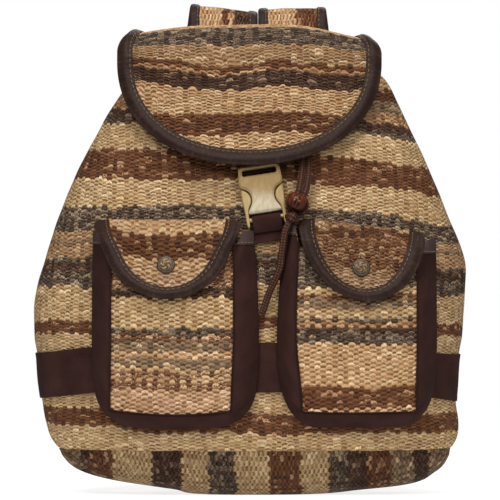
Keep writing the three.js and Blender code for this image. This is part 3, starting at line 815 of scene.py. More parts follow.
@dataclass(frozen=True)
class PlainCloth(Finish):
    """Dark brown cotton with a fine weave and a little lint."""

    name: str = "brown_cotton"
    colour: Colour = tint(51, 31, 27)
    thread: float = 1.1
    mottle_rate: float = 0.05
    lint_rate: float = 0.9
    roughness: float = 0.92
    gloss: float = 0.08

    def make(self) -> Material:
        """Builds the material.

        Returns:
            The material.
        """
        graph = Graph(self.name)
        u, v = graph.cloth()
        turn = TURN / self.thread
        weave = (u * turn).cosine() * (v * turn).cosine()
        mottle = graph.noise(u, v, self.mottle_rate, 4.0)
        lint = graph.noise(u, v, self.lint_rate, 2.0)
        tone = 1.3 * mottle - 0.15 + lint + weave * 0.08
        graph.raise_by(weave * 0.3 + lint + mottle * 2.0, 0.3)
        return graph.surface(
            Base_Color=graph.scaled(self.colour, tone),
            Roughness=self.roughness,
            Specular_IOR_Level=self.gloss,
        )


@dataclass(frozen=True)
class Leather(Finish):
    """Soft dark brown leather with a fine grain, paler at its folded edge from wear and lighter along its
    creases as painted sheen.
    """

    name: str = "binding_leather"
    colour: Colour = tint(44, 28, 22)
    # paler colour of the worn fold and of the painted sheen along the creases
    wear_and_highlight: Colour = tint(74, 54, 46)
    grain_rate: float = 0.75
    mottle_rate: float = 0.06
    roughness: float = 0.44
    gloss: float = 0.14

    def make(self) -> Material:
        """Builds the material.

        Returns:
            The material.
        """
        graph = Graph(self.name)
        u, v = graph.cloth()
        grain = graph.cells(u, v, self.grain_rate)
        crease = graph.noise(u * 0.5, v * 0.16, 1.0, 3.0)
        mottle = graph.noise(u, v, self.mottle_rate, 3.0)
        # Paler at the fold's nose from wear, and along the creases as painted sheen.
        worn = ((1.0 - v.eased(0.0, 3.0)) * 0.6 + crease.eased(0.5, 0.75) * 0.5) * mottle.eased(0.36, 0.66)
        colour = graph.blend(worn, self.colour, self.wear_and_highlight)
        # The creases also lighten the tone: painted sheen.
        tone = 0.3 + 0.7 * mottle + 0.7 * crease - grain * 0.16
        graph.raise_by(grain * 0.6 + crease * 1.8, 0.3)
        return graph.surface(
            Base_Color=graph.scaled(colour, tone),
            Roughness=self.roughness + mottle * 0.2,
            Specular_IOR_Level=self.gloss,
        )


@dataclass(frozen=True)
class Thread(Finish):
    """Waxed olive stitching thread."""

    name: str = "stitching_thread"
    colour: Colour = tint(116, 95, 58)
    twist_rate: float = 0.8
    roughness: float = 0.6
    gloss: float = 0.3

    def make(self) -> Material:
        """Builds the material.

        Returns:
            The material.
        """
        graph = Graph(self.name)
        x, y, z = graph.place()
        twist = graph.noise(x, y, self.twist_rate, 2.0, z)
        graph.raise_by(twist, 0.2)
        colour = graph.scaled(self.colour, 0.6 + 0.7 * twist)
        return graph.surface(Base_Color=colour, Roughness=self.roughness, Specular_IOR_Level=self.gloss)


@dataclass(frozen=True)
class Braid(Finish):
    """Reddish brown braided cord, with painted highlights on its raised crossings."""

    name: str = "drawstring_braid"
    colour: Colour = tint(50, 27, 19)
    # colour of the raised crossings: painted highlight
    raised: Colour = tint(116, 78, 60)
    plaits: float = 3.0
    pitch: float = 4.4
    fibre_rate: float = 1.4
    roughness: float = 0.7
    gloss: float = 0.15

    def make(self) -> Material:
        """Builds the material.

        Returns:
            The material.
        """
        graph = Graph(self.name)
        share, run = graph.cloth()
        slant = run * (TURN / self.pitch)
        turn = share * (TURN * self.plaits)
        lattice = (turn + slant).cosine() * (turn - slant).cosine()
        fibre = graph.noise(share * 40.0, run, self.fibre_rate, 3.0)
        # Lighter where the plaits cross and stand up, darkest between them: painted highlight and painted
        # shade.
        crossing_highlight = lattice.eased(-0.3, 0.9) * fibre.eased(0.36, 0.6)
        colour = graph.blend(crossing_highlight, self.colour, self.raised)
        graph.raise_by(lattice * 0.5 + fibre, 0.4)
        return graph.surface(
            Base_Color=graph.scaled(colour, 0.45 + 0.9 * fibre),
            Roughness=self.roughness,
            Specular_IOR_Level=self.gloss,
        )


@dataclass(frozen=True)
class Plastic(Finish):
    """Moulded khaki plastic with faint flow streaks and a painted highlight over its lower half."""

    name: str = "khaki_plastic"
    colour: Colour = tint(138, 111, 66)
    streaked: Colour = tint(150, 123, 77)
    # Painted highlight: a pale colour over the lower half, fading out upwards between these heights.
    highlight_colour: Colour = tint(183, 171, 146)
    highlight_below: float = 248.0
    highlight_full: float = 233.0
    speck_rate: float = 1.6
    roughness: float = 0.34
    gloss: float = 0.36

    def make(self) -> Material:
        """Builds the material.

        Returns:
            The material.
        """
        graph = Graph(self.name)
        x, y, z = graph.place()
        streak = graph.noise(x * 0.5, z * 0.05, 1.0, 3.0, y)
        speck = graph.noise(x, z, self.speck_rate, 2.0, y)
        colour = graph.blend(streak.eased(0.4, 0.75), self.colour, self.streaked)
        # Painted highlight over the lower half, streaked along the flow.
        wear_and_highlight = (1.0 - z.eased(self.highlight_full, self.highlight_below)) * (0.66 + 0.34 * streak.eased(0.3, 0.7))
        colour = graph.blend(wear_and_highlight, colour, self.highlight_colour)
        graph.raise_by(streak + speck * 0.4, 0.06)
        return graph.surface(
            Base_Color=graph.scaled(colour, 0.88 + 0.24 * speck),
            Roughness=self.roughness + speck * 0.14,
            Specular_IOR_Level=self.gloss,
        )


@dataclass(frozen=True)
class Pewter(Finish):
    """Antiqued metal, dark in its hollows and bright on its worn relief."""

    name: str = "antique_pewter"
    dark: Colour = tint(44, 33, 25)
    bright: Colour = tint(112, 90, 62)
    wear_rate: float = 0.9
    roughness: float = 0.5

    def make(self) -> Material:
        """Builds the material.

        Returns:
            The material.
        """
        graph = Graph(self.name)
        height, _ = graph.cloth()
        x, y, z = graph.place()
        wear = graph.noise(x, y, self.wear_rate, 4.0, z)
        share = (height + (wear - 0.5) * 0.7).eased(0.15, 0.85)
        colour = graph.blend(share, self.dark, self.bright)
        graph.raise_by(wear, 0.08)
        rough = self.roughness - share * 0.16
        return graph.surface(Base_Color=colour, Roughness=rough, Metallic=0.35 + share * 0.5)


@dataclass(frozen=True)
class Wood(Finish):
    """Lacquered red-brown wood, with painted shade darkening its lower side."""

    name: str = "lacquered_wood"
    dark: Colour = tint(20, 8, 5)
    light: Colour = tint(104, 53, 30)
    # Painted shade: the bead is darkest at and below the first of these heights and untouched above the
    # second.
    painted_shade_low: float = 226.0
    clear: float = 240.0
    grain_rate: float = 0.55
    pore_rate: float = 2.6
    slant: float = 0.4
    roughness: float = 0.3
    gloss: float = 0.03
    lacquer: float = 0.22
    lacquer_roughness: float = 0.04

    def make(self) -> Material:
        """Builds the material.

        Returns:
            The material.
        """
        graph = Graph(self.name)
        x, y, z = graph.place()
        lean = x * self.slant + z
        across = x - z * self.slant
        grain = graph.noise(across, y, self.grain_rate, 4.0, lean * 0.12)
        pores = graph.noise(across, y, self.pore_rate, 2.0, lean * 0.2)
        colour = graph.blend(grain.eased(0.3, 0.7), self.dark, self.light)
        # Painted shade, darker towards the bottom of the bead.
        stain_and_shade = 0.3 + 0.7 * z.eased(self.painted_shade_low, self.clear)
        graph.raise_by(grain + pores * 0.4, 0.05)
        return graph.surface(
            Base_Color=graph.scaled(colour, stain_and_shade * (0.8 + 0.4 * pores)),
            Roughness=self.roughness + pores * 0.1,
            Specular_IOR_Level=self.gloss,
            Coat_Weight=self.lacquer,
            Coat_Roughness=self.lacquer_roughness,
        )


@dataclass(frozen=True)
class Paper(Finish):
    """Pale studio paper that throws light up only from a pool round the bag."""

    name: str = "studio_paper"
    colour: Colour = tint(156, 156, 155)
    white: Colour = tint(250, 250, 249)
    dim: Colour = tint(60, 60, 60)
    glow: float = 0.84
    pool: Pair = (300.0, 560.0)
    cloud_rate: float = 0.002
    roughness: float = 0.9
    gloss: float = 0.1

    def make(self) -> Material:
        """Builds the material.

        Returns:
            The material.
        """
        graph = Graph(self.name)
        x, y, _ = graph.place()
        cloud = graph.noise(x, y, self.cloud_rate, 2.0)
        colour = graph.scaled(self.colour, 0.97 + 0.03 * cloud)
        lit = 1.0 - (x * x + y * y).math("SQRT").eased(*self.pool)
        return graph.surface(
            Base_Color=colour,
            Roughness=self.roughness,
            Specular_IOR_Level=self.gloss,
            Emission_Color=graph.blend(graph.seen().maximum(lit), self.dim, self.white),
            Emission_Strength=self.glow,
        )


class Slot(Enum):
    """Material slots of the part."""

    KILIM = "kilim"
    TWILL = "twill"
    LEATHER = "leather"
    BUCKLE = "buckle"
    SNAP = "snap"
    CORD = "cord"
    BEAD = "bead"


@cache
def material(finish: Finish) -> Material:
    """Makes a finish's material, once."""
    return finish.make()


def dress(piece: Object, finish: Finish, slot: Slot, *nodes: str) -> Object:
    """Gives a piece its finish and its place in the frame.

    Args:
        piece: The piece.
        finish: A finish from this file.
        slot: The record's material slot; not used.
        *nodes: Solids that the piece stands for.

    Returns:
        The piece.
    """
    piece.data.materials.clear()
    piece.data.materials.append(material(finish))
    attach(piece, BODY)
    if nodes:
        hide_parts(*nodes)
    LOG.info("%s: %s, %d faces", piece.name, finish.name, len(piece.data.polygons))
    return piece


# Studio


class Lamp(NamedTuple):
    """A square soft light: its place and side in metres and its power in watts."""

    name: str
    place: Triple
    side: float
    power: float


@dataclass
class Studio:
    """Floor, soft light and the camera of the front view."""

    view_width: float = 400.0
    aim: Triple = (0.0, -40.0, 196.0)
    distance: float = 6000.0
    elevation: float = 0.4
    sensor: float = 36.0
    farthest: float = 100.0
    floor_half: float = 1500.0
    room_light: float = 0.2
    lamps: tuple[Lamp, ...] = (
        Lamp("key", (-1.3, -3.0, 2.5), 0.8, 74),
        Lamp("fill", (1.6, -3.2, 1.9), 1.4, 52),
        Lamp("top", (0.0, -1.2, 2.9), 1.6, 62),
        Lamp("back", (0.5, 3.0, 2.2), 1.6, 36),
    )

    def set_camera(self) -> None:
        """Places the long-lens camera in front of the bag."""
        lens = bpy.data.cameras.new("front_view")
        lens.sensor_width = self.sensor
        lens.lens = self.sensor * self.distance / self.view_width
        lens.clip_end = self.farthest
        camera = link(bpy.data.objects.new("front_view", lens))
        lift = math.radians(self.elevation)
        aim = Vector(self.aim)
        camera.location = (aim + self.distance * Vector((0, -math.cos(lift), math.sin(lift)))) * MM
        camera.rotation_euler = (math.pi / 2 - lift, 0, 0)
        bpy.context.scene.camera = camera

    def hang(self, lamp: Lamp) -> None:
        """Hangs a soft light that faces the bag.

        Args:
            lamp: The light.
        """
        light = bpy.data.lights.new(lamp.name, "AREA")
        light.size = lamp.side
        light.energy = lamp.power
        holder = link(bpy.data.objects.new(lamp.name, light))
        holder.location = lamp.place
        aim = Vector(self.aim) * MM - Vector(lamp.place)
        holder.rotation_euler = aim.to_track_quat("-Z", "Y").to_euler()

    def build(self) -> None:
        """Makes the floor, the lights and surroundings that look white and give a softer light."""
        half = self.floor_half * MM
        mesh = bpy.data.meshes.new("floor")
        corners = [(-half, -half, 0), (half, -half, 0), (half, half, 0), (-half, half, 0)]
        mesh.from_pydata(corners, [], [(0, 1, 2, 3)])
        floor = link(bpy.data.objects.new("floor", mesh))
        mesh.materials.append(Paper().make())
        for lamp in self.lamps:
            self.hang(lamp)
        graph = Graph("white_room", "worlds")
        strength = self.room_light + (1 - self.room_light) * graph.seen()
        bpy.context.scene.world = graph.surface(Color=(1, 1, 1), Strength=strength)
        bpy.context.scene.view_settings.view_transform = "Standard"


# Bag


@dataclass
class Bag:
    """The stuffed body, its bottom panel and the band round it."""

    sections: Array = table(  # height, left, right, front, back
        (32, 151, 159, 61, 56), (46, 160, 166, 68.5, 60), (76, 169.5, 167.5, 74, 63),
        (116, 173.4, 170.2, 78, 64), (156, 173.6, 173, 78, 62), (188, 165.5, 173.2, 75, 59),
        (220, 155.2, 161.4, 71, 55), (252, 142.4, 148.2, 65, 50), (284, 126, 133.4, 57, 45),
        (316, 108, 117, 46, 39), (332, 96, 107, 38.5, 34.5), (346, 82, 92, 30, 29),
    )
    bottom: Array = table(  # height, left, right, front, back, from the middle out
        (0, 1, 1, 1, 1), (0, 46, 58, 38, 38), (3, 60, 90, 48, 46), (6.4, 83, 122, 53, 50),
        (10.4, 109, 138.5, 57, 53), (16, 131, 147.5, 60, 55.5), (23, 144.5, 156, 61.5, 56.5),
        (36, 155.5, 163, 63, 58),
    )
    right_droop: Array = table(  # height, how far the stripes hang at the right
        (45, -1.5), (90, 4), (130, 7), (165, 9), (192, 9.5), (214, 14.4), (240, 14), (268, 17),
        (300, 18)
    )
    left_droop: Array = table(  # height, how far they hang at the left
        (45, -7), (90, -1), (140, 3.6), (200, 1.6), (260, 0), (340, 0)
    )
    level_half: float = 16.0
    band_hang: Array = table(  # x, hang of the band's upper edge, hang of its lower edge
        (-172, -6.0, -5.2), (-126, -0.2, 0.4), (-40, 3.0, 1.0), (16, 3.8, 1.0), (60, 2.4, 0.6),
        (147, -5.4, -4.0), (171, -7.2, -8.2),
    )
    columns: int = 288
    bottom_grid: int = 150
    seam: float = 35.0
    mouth: float = 346.0
    band_low: float = 82.0
    band_high: float = 119.0
    cinch: float = 1.6
    side_hang: float = 6.5
    gathers: int = 11
    gather_depth: float = 3.0
    wrinkles: int = 17
    wrinkle_depth: float = 0.7
    roll_under: float = 2.4
    plump: float = 1.2
    body_chart: Chart = (
        (0, STRAW), (48.8, BROWN), (65.6, STRAW), (132.8, BROWN), (143.6, STRAW), (168.8, CHARCOAL),
        (181.0, UMBER), (187.6, CHARCOAL), (190.8, FAWN), (201.6, ASH), (204.8, FAWN),
        (212.8, CHARCOAL), (229.8, STRAW), (252.8, BROWN), (275.6, STRAW), (297.6, CHARCOAL),
        (303.0, UMBER), (308.5, TAN), (316.0, ASH), (328.0, BROWN), (337.0, STRAW), (400.0, STRAW),
    )
    bottom_chart: Chart = (
        (-200, ASH), (-135.0, UMBER), (-130.6, BROWN), (-110.4, STRAW), (-79.2, UMBER), (-55.2, STRAW),
        (-33.6, CHARCOAL), (-11.2, STRAW), (15.2, BROWN), (40.0, STRAW), (64.0, CHARCOAL),
        (78.0, UMBER), (93.6, BROWN), (113.2, ASH), (130.4, UMBER), (143.2, ASH), (200.0, ASH),
    )

    def section(self, z: Array) -> tuple[Array, ...]:
        """Reach to the left, right, front and back at a height."""
        heights = self.sections[:, 0]
        return tuple(through_table(heights, self.sections[:, k], z) for k in range(1, 5))

    def front(self, x: Array, z: Array) -> Array:
        """The bag's front face, as y."""
        left, right, front, _ = self.section(np.asarray(z, float))
        return -front * roundness(x, np.where(np.asarray(x) < 0, left, right))

    def on_front(self, x: Array, z: Array, lift: Numbers) -> Array:
        """Points held off the bag's front by a lift."""
        return points(x, self.front(x, z) - lift, z)

    def ring(self, reach: Sequence[Array], angle: Array, z: Array, grow: Numbers) -> Array:
        """Points of level sections, grown outwards.

        Args:
            reach: Reach to the left, right, front and back.
            angle: Angle round the bag, from the right side towards the back.
            z: Height.
            grow: How far the section grows.

        Returns:
            The points.
        """
        left, right, front, back = reach
        across = np.where(np.cos(angle) < 0, left, right) + grow
        deep = np.where(np.sin(angle) < 0, front, back) + grow
        power = 2 / ROUNDNESS
        x = across * signed_power(np.cos(angle), power)
        return points(x, deep * signed_power(np.sin(angle), power), z)

    def droop(self, x: Array, z: Array) -> Array:
        """Says how far the stripes hang below their level in the middle.

        Args:
            x: Place across the bag.
            z: Height.

        Returns:
            The hang.
        """
        toward_right = np.clip((x - self.level_half) / 136, 0, 1.2) ** np.interp(z, [240, 290], [1.6, 0.9])
        toward_left = np.clip((-self.level_half - x) / 112, 0, 1.4) ** 1.6
        right, left = np.interp(z, *self.right_droop.T), np.interp(z, *self.left_droop.T)
        return right * toward_right + left * toward_left

    def cinched(self, sideways: Array, z: Array) -> Array:
        """Says how far the band draws the body in at its sides.

        Args:
            sideways: Share of the way from the middle to the side.
            z: Height.

        Returns:
            The draw.
        """
        level = z + self.side_hang
        under = smooth(level, self.band_low - 18, self.band_low)
        under = under * (1 - smooth(level, self.band_high - 4, self.band_high + 14))
        return self.cinch * under * smooth(np.abs(sideways), 0.6, 0.85)

    def build(self) -> None:
        """Makes the body, the bottom panel and the band."""
        self.build_body()
        self.build_bottom()
        self.build_band()

    def turns(self) -> Array:
        """Angles round the bag, from the middle of the back."""
        return np.linspace(0, TURN, self.columns + 1) + math.pi / 2

    def build_body(self) -> None:
        """Makes the body cloth, rolled under at its seam and gathered at its mouth."""
        foot = np.linspace(self.seam, self.seam + 9, 13)
        heights = np.concatenate([foot, np.linspace(46, self.mouth, 127)])
        z, angle = np.meshgrid(heights, self.turns(), indexing="ij")
        gathers = self.gather_depth * smooth(z, 300, self.mouth) * np.cos(self.gathers * angle)
        gathers = gathers + self.wrinkle_depth * smooth(z, 240, 320) * np.cos(self.wrinkles * angle + 1)
        rolled = -self.roll_under * np.clip(1 - (z - self.seam) / 3.5, 0, 1) ** 2
        plump = self.plump * bell(z, 46, 9) - self.cinched(np.cos(angle), z)
        reach = self.section(z)
        smooth_skin = self.ring(reach, angle, z, 0)
        girth = from_middle(smooth_skin)
        uneven = 0.45 * ripple(girth, z, 34, 3) - 0.35
        outer = self.ring(reach, angle, z, rolled + plump + gathers + uneven)
        inner = self.ring(reach, angle, z, rolled + gathers - CLOTH)
        level = z + self.droop(smooth_skin[..., 0], z)
        body = shell("bag_body", outer[:, :-1], inner[:, :-1], handwoven(girth, level, 60), ring=True)
        dress(body, Kilim("body_kilim", self.body_chart, tone=0.97), Slot.KILIM, "body")

    def build_bottom(self) -> None:
        """Makes the bottom panel, with its stripes running under the bag."""
        reach, angle = disc(self.bottom_grid)
        row = reach * (len(self.bottom) - 1)
        knots = np.arange(len(self.bottom), dtype=float)
        z, *sides = (through_table(knots, self.bottom[:, k], row) for k in range(5))
        z = np.maximum(z, 0.0)
        tucked = -1.6 * smooth(reach, 0.94, 1.0)
        pleat = -3.2 * bell(np.degrees(angle), -163, 1.6) * smooth(z, 8, 28)
        outer = self.ring(sides, angle, z, tucked + pleat)
        raised = z + CLOTH * smooth(1 - reach, 0.0, 0.5)
        inner = self.ring(sides, angle, raised, tucked - CLOTH * smooth(reach, 0.02, 0.4))
        x, y = np.moveaxis(self.ring(sides, angle, z, 0)[..., :2], -1, 0)
        weft = y + z * np.tanh(y / 14)
        panel = shell("bottom_panel_cloth", outer, inner, handwoven(weft, x, 64, 0.45))
        kilim = Kilim("bottom_kilim", self.bottom_chart, row=1.84, tone=0.6)
        dress(panel, kilim, Slot.KILIM, "bottom_panel")

    def build_band(self) -> None:
        """Makes the plain band, which hangs with the cloth at the bag's sides."""
        share, angle = np.meshgrid(np.linspace(0, 1, 18), self.turns(), indexing="ij")
        middle = self.ring(self.section(np.full_like(angle, 99.0)), angle, angle * 0, 0)
        x, y = middle[..., 0], middle[..., 1]
        places, *hangs = self.band_hang.T
        high, low = (np.interp(x, places, hang) for hang in hangs)
        z = mix(self.band_low, self.band_high, share) + mix(low, high, share) * smooth(-y, -60, -15)
        reach = self.section(z)
        girth = from_middle(self.ring(reach, angle, z, 0))
        soft = 0.35 * ripple(girth, z, 22, 8)
        edge = 0.5 * (bell(share, 0.04, 0.05) + bell(share, 0.96, 0.05))
        seat = GAP - self.cinched(np.cos(angle), z)
        tight = 1 - 0.65 * smooth(np.abs(np.cos(angle)), 0.7, 0.92)
        outer = self.ring(reach, angle, z, seat + (TWILL + 0.2 + soft + edge) * tight)
        inner = self.ring(reach, angle, z, seat)
        band = shell("waist_band_cloth", outer[:, :-1], inner[:, :-1], points(girth, z), ring=True)
        dress(band, PlainCloth(), Slot.TWILL, "waist_band")


def roundness(x: Array, half: Numbers) -> Array:
    """How round the bag is at a distance from its middle: 1 in the middle, 0 at the side."""
    share = np.minimum(np.abs(x) / half, 0.999)
    return (1 - share**ROUNDNESS) ** (1 / ROUNDNESS)


# Leather edges and stitching


@dataclass(frozen=True)
class Binding:
    """Section of a leather strip folded round a cloth edge."""

    width: float = 11.0
    fold: float = 2.4
    inside: float = 1.9
    outside: float = 3.1
    puff: float = 2.0

    def top(self, inset: Numbers) -> Array:
        """Finds the height of the strip's face.

        Args:
            inset: Distance from its outer edge.

        Returns:
            The height.
        """
        share = np.clip((np.asarray(inset) - self.fold) / (self.width - self.fold), 0, 1)
        thin = (self.outside - self.inside) * 0.45
        return self.outside + self.puff * np.sin(math.pi * share**0.7) - thin * share**3

    def section(self) -> Array:
        """Draws the folded strip's closed outline.

        Returns:
            Its points as inset and offset.
        """
        nose = np.linspace(-math.pi / 2, math.pi / 2, 9)
        round_edge = np.stack([self.fold * (1 - np.cos(nose)), self.outside * np.sin(nose)], axis=1)
        face = np.linspace(self.fold, self.width, 9)[1:]
        upper = np.stack([face, self.top(face)], axis=1)
        inner = [(self.width, self.inside), (self.fold, self.inside), (self.fold, -self.inside)]
        under = [(self.width, -self.inside), (self.width, -self.outside), (self.width / 2, -self.outside)]
        return np.vstack([round_edge, upper, inner, under])


@dataclass(frozen=True)
class Stitching:
    """A row of thread stitches."""

    length: float = 3.0
    pitch: float = 4.3
    radius: float = 0.3
    sides: int = 6
    shape: tuple[Triple, ...] = (  # share of the stitch, thickness, rise
        (0.0, 0.45, -0.5), (0.12, 0.95, 0.0), (0.5, 1.0, 0.22), (0.88, 0.95, 0.0), (1.0, 0.45, -0.5)
    )

    def add(self, maker: MeshMaker, line: Array, above: Array) -> None:
        """Sews a row along a line.

        Args:
            maker: Takes the stitches.
            line: Points of the line on the surface.
            above: The same points moved off the surface.
        """
        run = lengths(line)
        normals = unit(above - line)
        shares, thick, rise = np.array(self.shape).T
        for start in np.arange(self.pitch / 2, run[-1] - self.length, self.pitch):
            marks = start + shares * self.length
            place = between(marks, run, line)
            normal = unit(between(marks, run, normals))
            across = unit(np.cross(np.gradient(place, axis=0), normal))
            place = place + normal * rise[:, None]
            around = spokes(across, normal, angles(self.sides))
            rings = place[:, None] + around * (thick * self.radius)[:, None, None]
            add_sweep(maker, rings, np.zeros((len(shares), self.sides + 1, 2)))


# Bound flaps


@dataclass
class BoundFlap:
    """A half-oval of kilim with a folded leather edge, laid by its place method."""

    name: str
    node: str
    kilim: Kilim
    half: float
    drop: float
    power: float
    centre: float = 0.0
    lead: float = 0.0
    rows: int = 84
    columns: int = 96
    relief: float = 0.45
    binding: Binding = Binding()
    stitching: Stitching = Stitching()
    seam_inset: float = 9.0
    groove: float = 0.8
    swell: float = 0.0

    def place(self, x: Array, q: Array, offset: Numbers) -> Array:
        """Lays points of the flap's pattern in space, in each flap's own way."""
        raise NotImplementedError

    def level(self, middle: Array, x: Array, q: Array) -> Array:
        """Place across the stripes, in the chart's own measure."""
        raise NotImplementedError

    def edge(self, angle: Array, inset: Numbers) -> tuple[Array, Array]:
        """The oval's edge, moved square to itself by an inset.

        Args:
            angle: 0 at the top of the side, a quarter turn at the tip.
            inset: Distance in from the edge.

        Returns:
            Half width and distance down.
        """
        cos, sin = np.maximum(np.cos(angle), 1e-9), np.maximum(np.sin(angle), 1e-9)
        bend = 2 - 2 / self.power
        square = unit(points(cos**bend / self.half, sin**bend / self.drop))
        half = self.half * cos ** (2 / self.power) - inset * square[..., 0]
        return np.maximum(half, 0), self.drop * sin ** (2 / self.power) - inset * square[..., 1]

    def rim(self, track: Array, inset: Numbers, offset: Numbers) -> Array:
        """Lays points near the edge.

        Args:
            track: From -1 at the left end round the tip to 1 at the right end.
            inset: Distance in from the edge.
            offset: Height off the middle of the cloth.

        Returns:
            The points.
        """
        reach = 1 - np.abs(track)
        half, down = self.edge(np.clip(reach, 0, 1) * math.pi / 2, inset)
        side = np.where(track < 0, -1.0, 1.0)
        return self.place(self.centre + side * half, down + np.minimum(reach, 0), offset)

    def widened(self, track: Array, inset: Numbers) -> Array:
        """An inset on the binding, which is wider at the flap's sides than at its tip."""
        beyond = np.maximum(inset - self.binding.fold, 0) * self.swell
        return inset + beyond * smooth(np.abs(track), 0.1, 0.75)

    def even_track(self, inset: float, step: float) -> Array:
        """Marks the edge at an even distance.

        Args:
            inset: Distance in from the edge.
            step: Distance between the marks.

        Returns:
            The marks on the rim's track.
        """
        track = np.linspace(-1 - self.lead, 1 + self.lead, 1600)
        run = lengths(self.rim(track, inset, 0.0))
        return np.interp(np.linspace(0, run[-1], int(run[-1] / step)), run, track)

    def build(self) -> tuple[Object, Object]:
        """Makes the cloth, its binding and its stitches.

        Returns:
            The cloth and its binding.
        """
        cloth = self.build_cloth()
        binding = self.build_binding()
        self.build_stitches()
        return cloth, binding

    def build_cloth(self) -> Object:
        """Makes the sheet of kilim.

        Returns:
            The sheet.
        """
        share = np.linspace(-1, 1, self.columns + 1)
        down = np.linspace(0, 0.998, self.rows) ** 0.9
        angle = np.arcsin(down ** (self.power / 2))
        over = np.linspace(-1, 0, int(self.rows * self.lead), endpoint=False)
        half, along = self.edge(np.concatenate([over * 0, angle]), self.binding.fold + GAP)
        q = along + np.concatenate([over, angle * 0])
        x = self.centre + share * half[:, None]
        q = np.broadcast_to(q[:, None], x.shape)
        middle = self.place(x, q, 0.0)
        cloth = handwoven(from_middle(middle), self.level(middle, x, q), 68)
        woven = self.relief * (self.kilim.relief(cloth[..., 0], cloth[..., 1]) - 0.7)
        outer, inner = self.place(x, q, CLOTH / 2 + woven), self.place(x, q, -CLOTH / 2)
        sheet = shell(f"{self.name}_cloth", outer, inner, cloth)
        return dress(sheet, self.kilim, Slot.KILIM, self.node)

    def build_binding(self) -> Object:
        """Makes the folded leather edge.

        Returns:
            The binding.
        """
        track = self.even_track(self.binding.width / 2, 1.4)
        section = self.binding.section()
        inset, offset = section[:, 0], section[:, 1]
        run = lengths(self.rim(track, self.binding.width / 2, 0.0))
        lump = 1 + 0.05 * ripple(run, run * 0, 18, 5)[:, None]
        pucker = 0.18 * np.cos(run / self.stitching.pitch * TURN)[:, None] * bell(inset, self.seam_inset, 2.0)
        sunk = self.groove * bell(inset, self.seam_inset, 1.7)
        raised = np.where(offset > self.binding.inside, offset * lump + pucker - sunk, offset)
        rings = self.rim(track[:, None], self.widened(track[:, None], inset[None, :]), raised)
        around = np.concatenate([inset, inset[:1]])
        cloth = points(run[:, None], around[None, :])
        piece = sweep(f"{self.name}_leather", rings, cloth)
        return dress(piece, Leather(), Slot.LEATHER, f"{self.node}_binding")

    def build_stitches(self) -> None:
        """Sews the row of stitches near the binding's inner edge."""
        track = self.even_track(self.seam_inset, 0.8)
        top = float(self.binding.top(self.seam_inset)) + 0.2 - self.groove
        maker = MeshMaker()
        inset = self.widened(track, self.seam_inset)
        self.stitching.add(maker, self.rim(track, inset, top), self.rim(track, inset, top + 1))
        dress(maker.make(f"{self.name}_stitches"), Thread(), Slot.LEATHER)


@dataclass
class Lid(BoundFlap):
    """The lid: a dome over the mouth, then a half-oval lying on the front."""

    oval_top: float = 347.0
    draw_in: float = 0.1
    rise: float = 35.0
    sag: float = 10.0
    slump: float = 4.2
    back_seam: float = 334.0
    round_half: float = 130.0
    back_reach: float = 38.6
    back_half: float = 118.0
    wave: Array = table(  # x, wave above the dark stripe, wave below it
        (-94, -4.6, -11.8), (-72, 0, -5.3), (-51, 2.7, 2.9), (-25, 6.9, 6.9), (12, -0.4, -0.8),
        (26, -0.6, -1.9), (56, 3.1, 3.0), (92, 2.4, 1.8),
    )
    wave_level: float = 338.0
    reach: Array = table(  # height, front
        (262, 79), (285, 69), (305, 61), (325, 54.5), (340, 50), (347, 48.8)
    )

    def place(self, x: Array, q: Array, offset: Numbers) -> Array:
        """Lays the lid over the mouth and down the front.

        Args:
            x: Place across the flap.
            q: Place down from its top edge; over the top, from 0 to -1.
            offset: Height off the middle of the cloth.

        Returns:
            The points.
        """
        low = self.oval_top - np.maximum(q, 0)
        turn = math.pi * np.clip(-q, 0, 1)
        x = self.centre + (x - self.centre) * (1 - self.draw_in * smooth(-q, 0.12, 0.6))
        front = -through_table(self.reach[:, 0], self.reach[:, 1], low) * roundness(x, self.round_half)
        back = self.back_reach * roundness(x, self.back_half)
        side = (x - self.centre) / self.half
        rise = self.rise - self.sag * side**2 - self.slump * smooth(side, 0.3, 1.0)
        y = mix(front, back, (1 - np.cos(turn)) / 2)
        z = np.where(q < 0, mix(self.oval_top, self.back_seam, -np.minimum(q, 0)), low) + rise * np.sin(turn)
        outward = unit(points(-np.cos(turn) / ((back - front) / 2), np.sin(turn) / rise))
        off = offset + 0.7 * ripple(x, z, 60, 12) + 0.3
        return points(x, y + off * outward[..., 0], z + off * outward[..., 1])

    def level(self, middle: Array, x: Array, q: Array) -> Array:
        """Height on the front, then length over the top, with the weaver's wave in the dark stripe.

        Args:
            middle: Points of the middle of the cloth.
            x: Place across the lid.
            q: Place down from the front's top, as in place.

        Returns:
            The place across the stripes.
        """
        column = middle[:, middle.shape[1] // 2]
        run = lengths(column)
        edge = int(np.searchsorted(q[:, 0], 0.0))
        over = np.where(q[:, 0] < 0, run[edge] - run, 0.0)[:, None]
        level = self.oval_top - np.maximum(q, 0) + over
        places, *waves = self.wave.T
        above, below = (np.interp(x, places, wave) for wave in waves)
        return level + mix(below, above, smooth(level, 322, 342)) * bell(level, self.wave_level, 20)


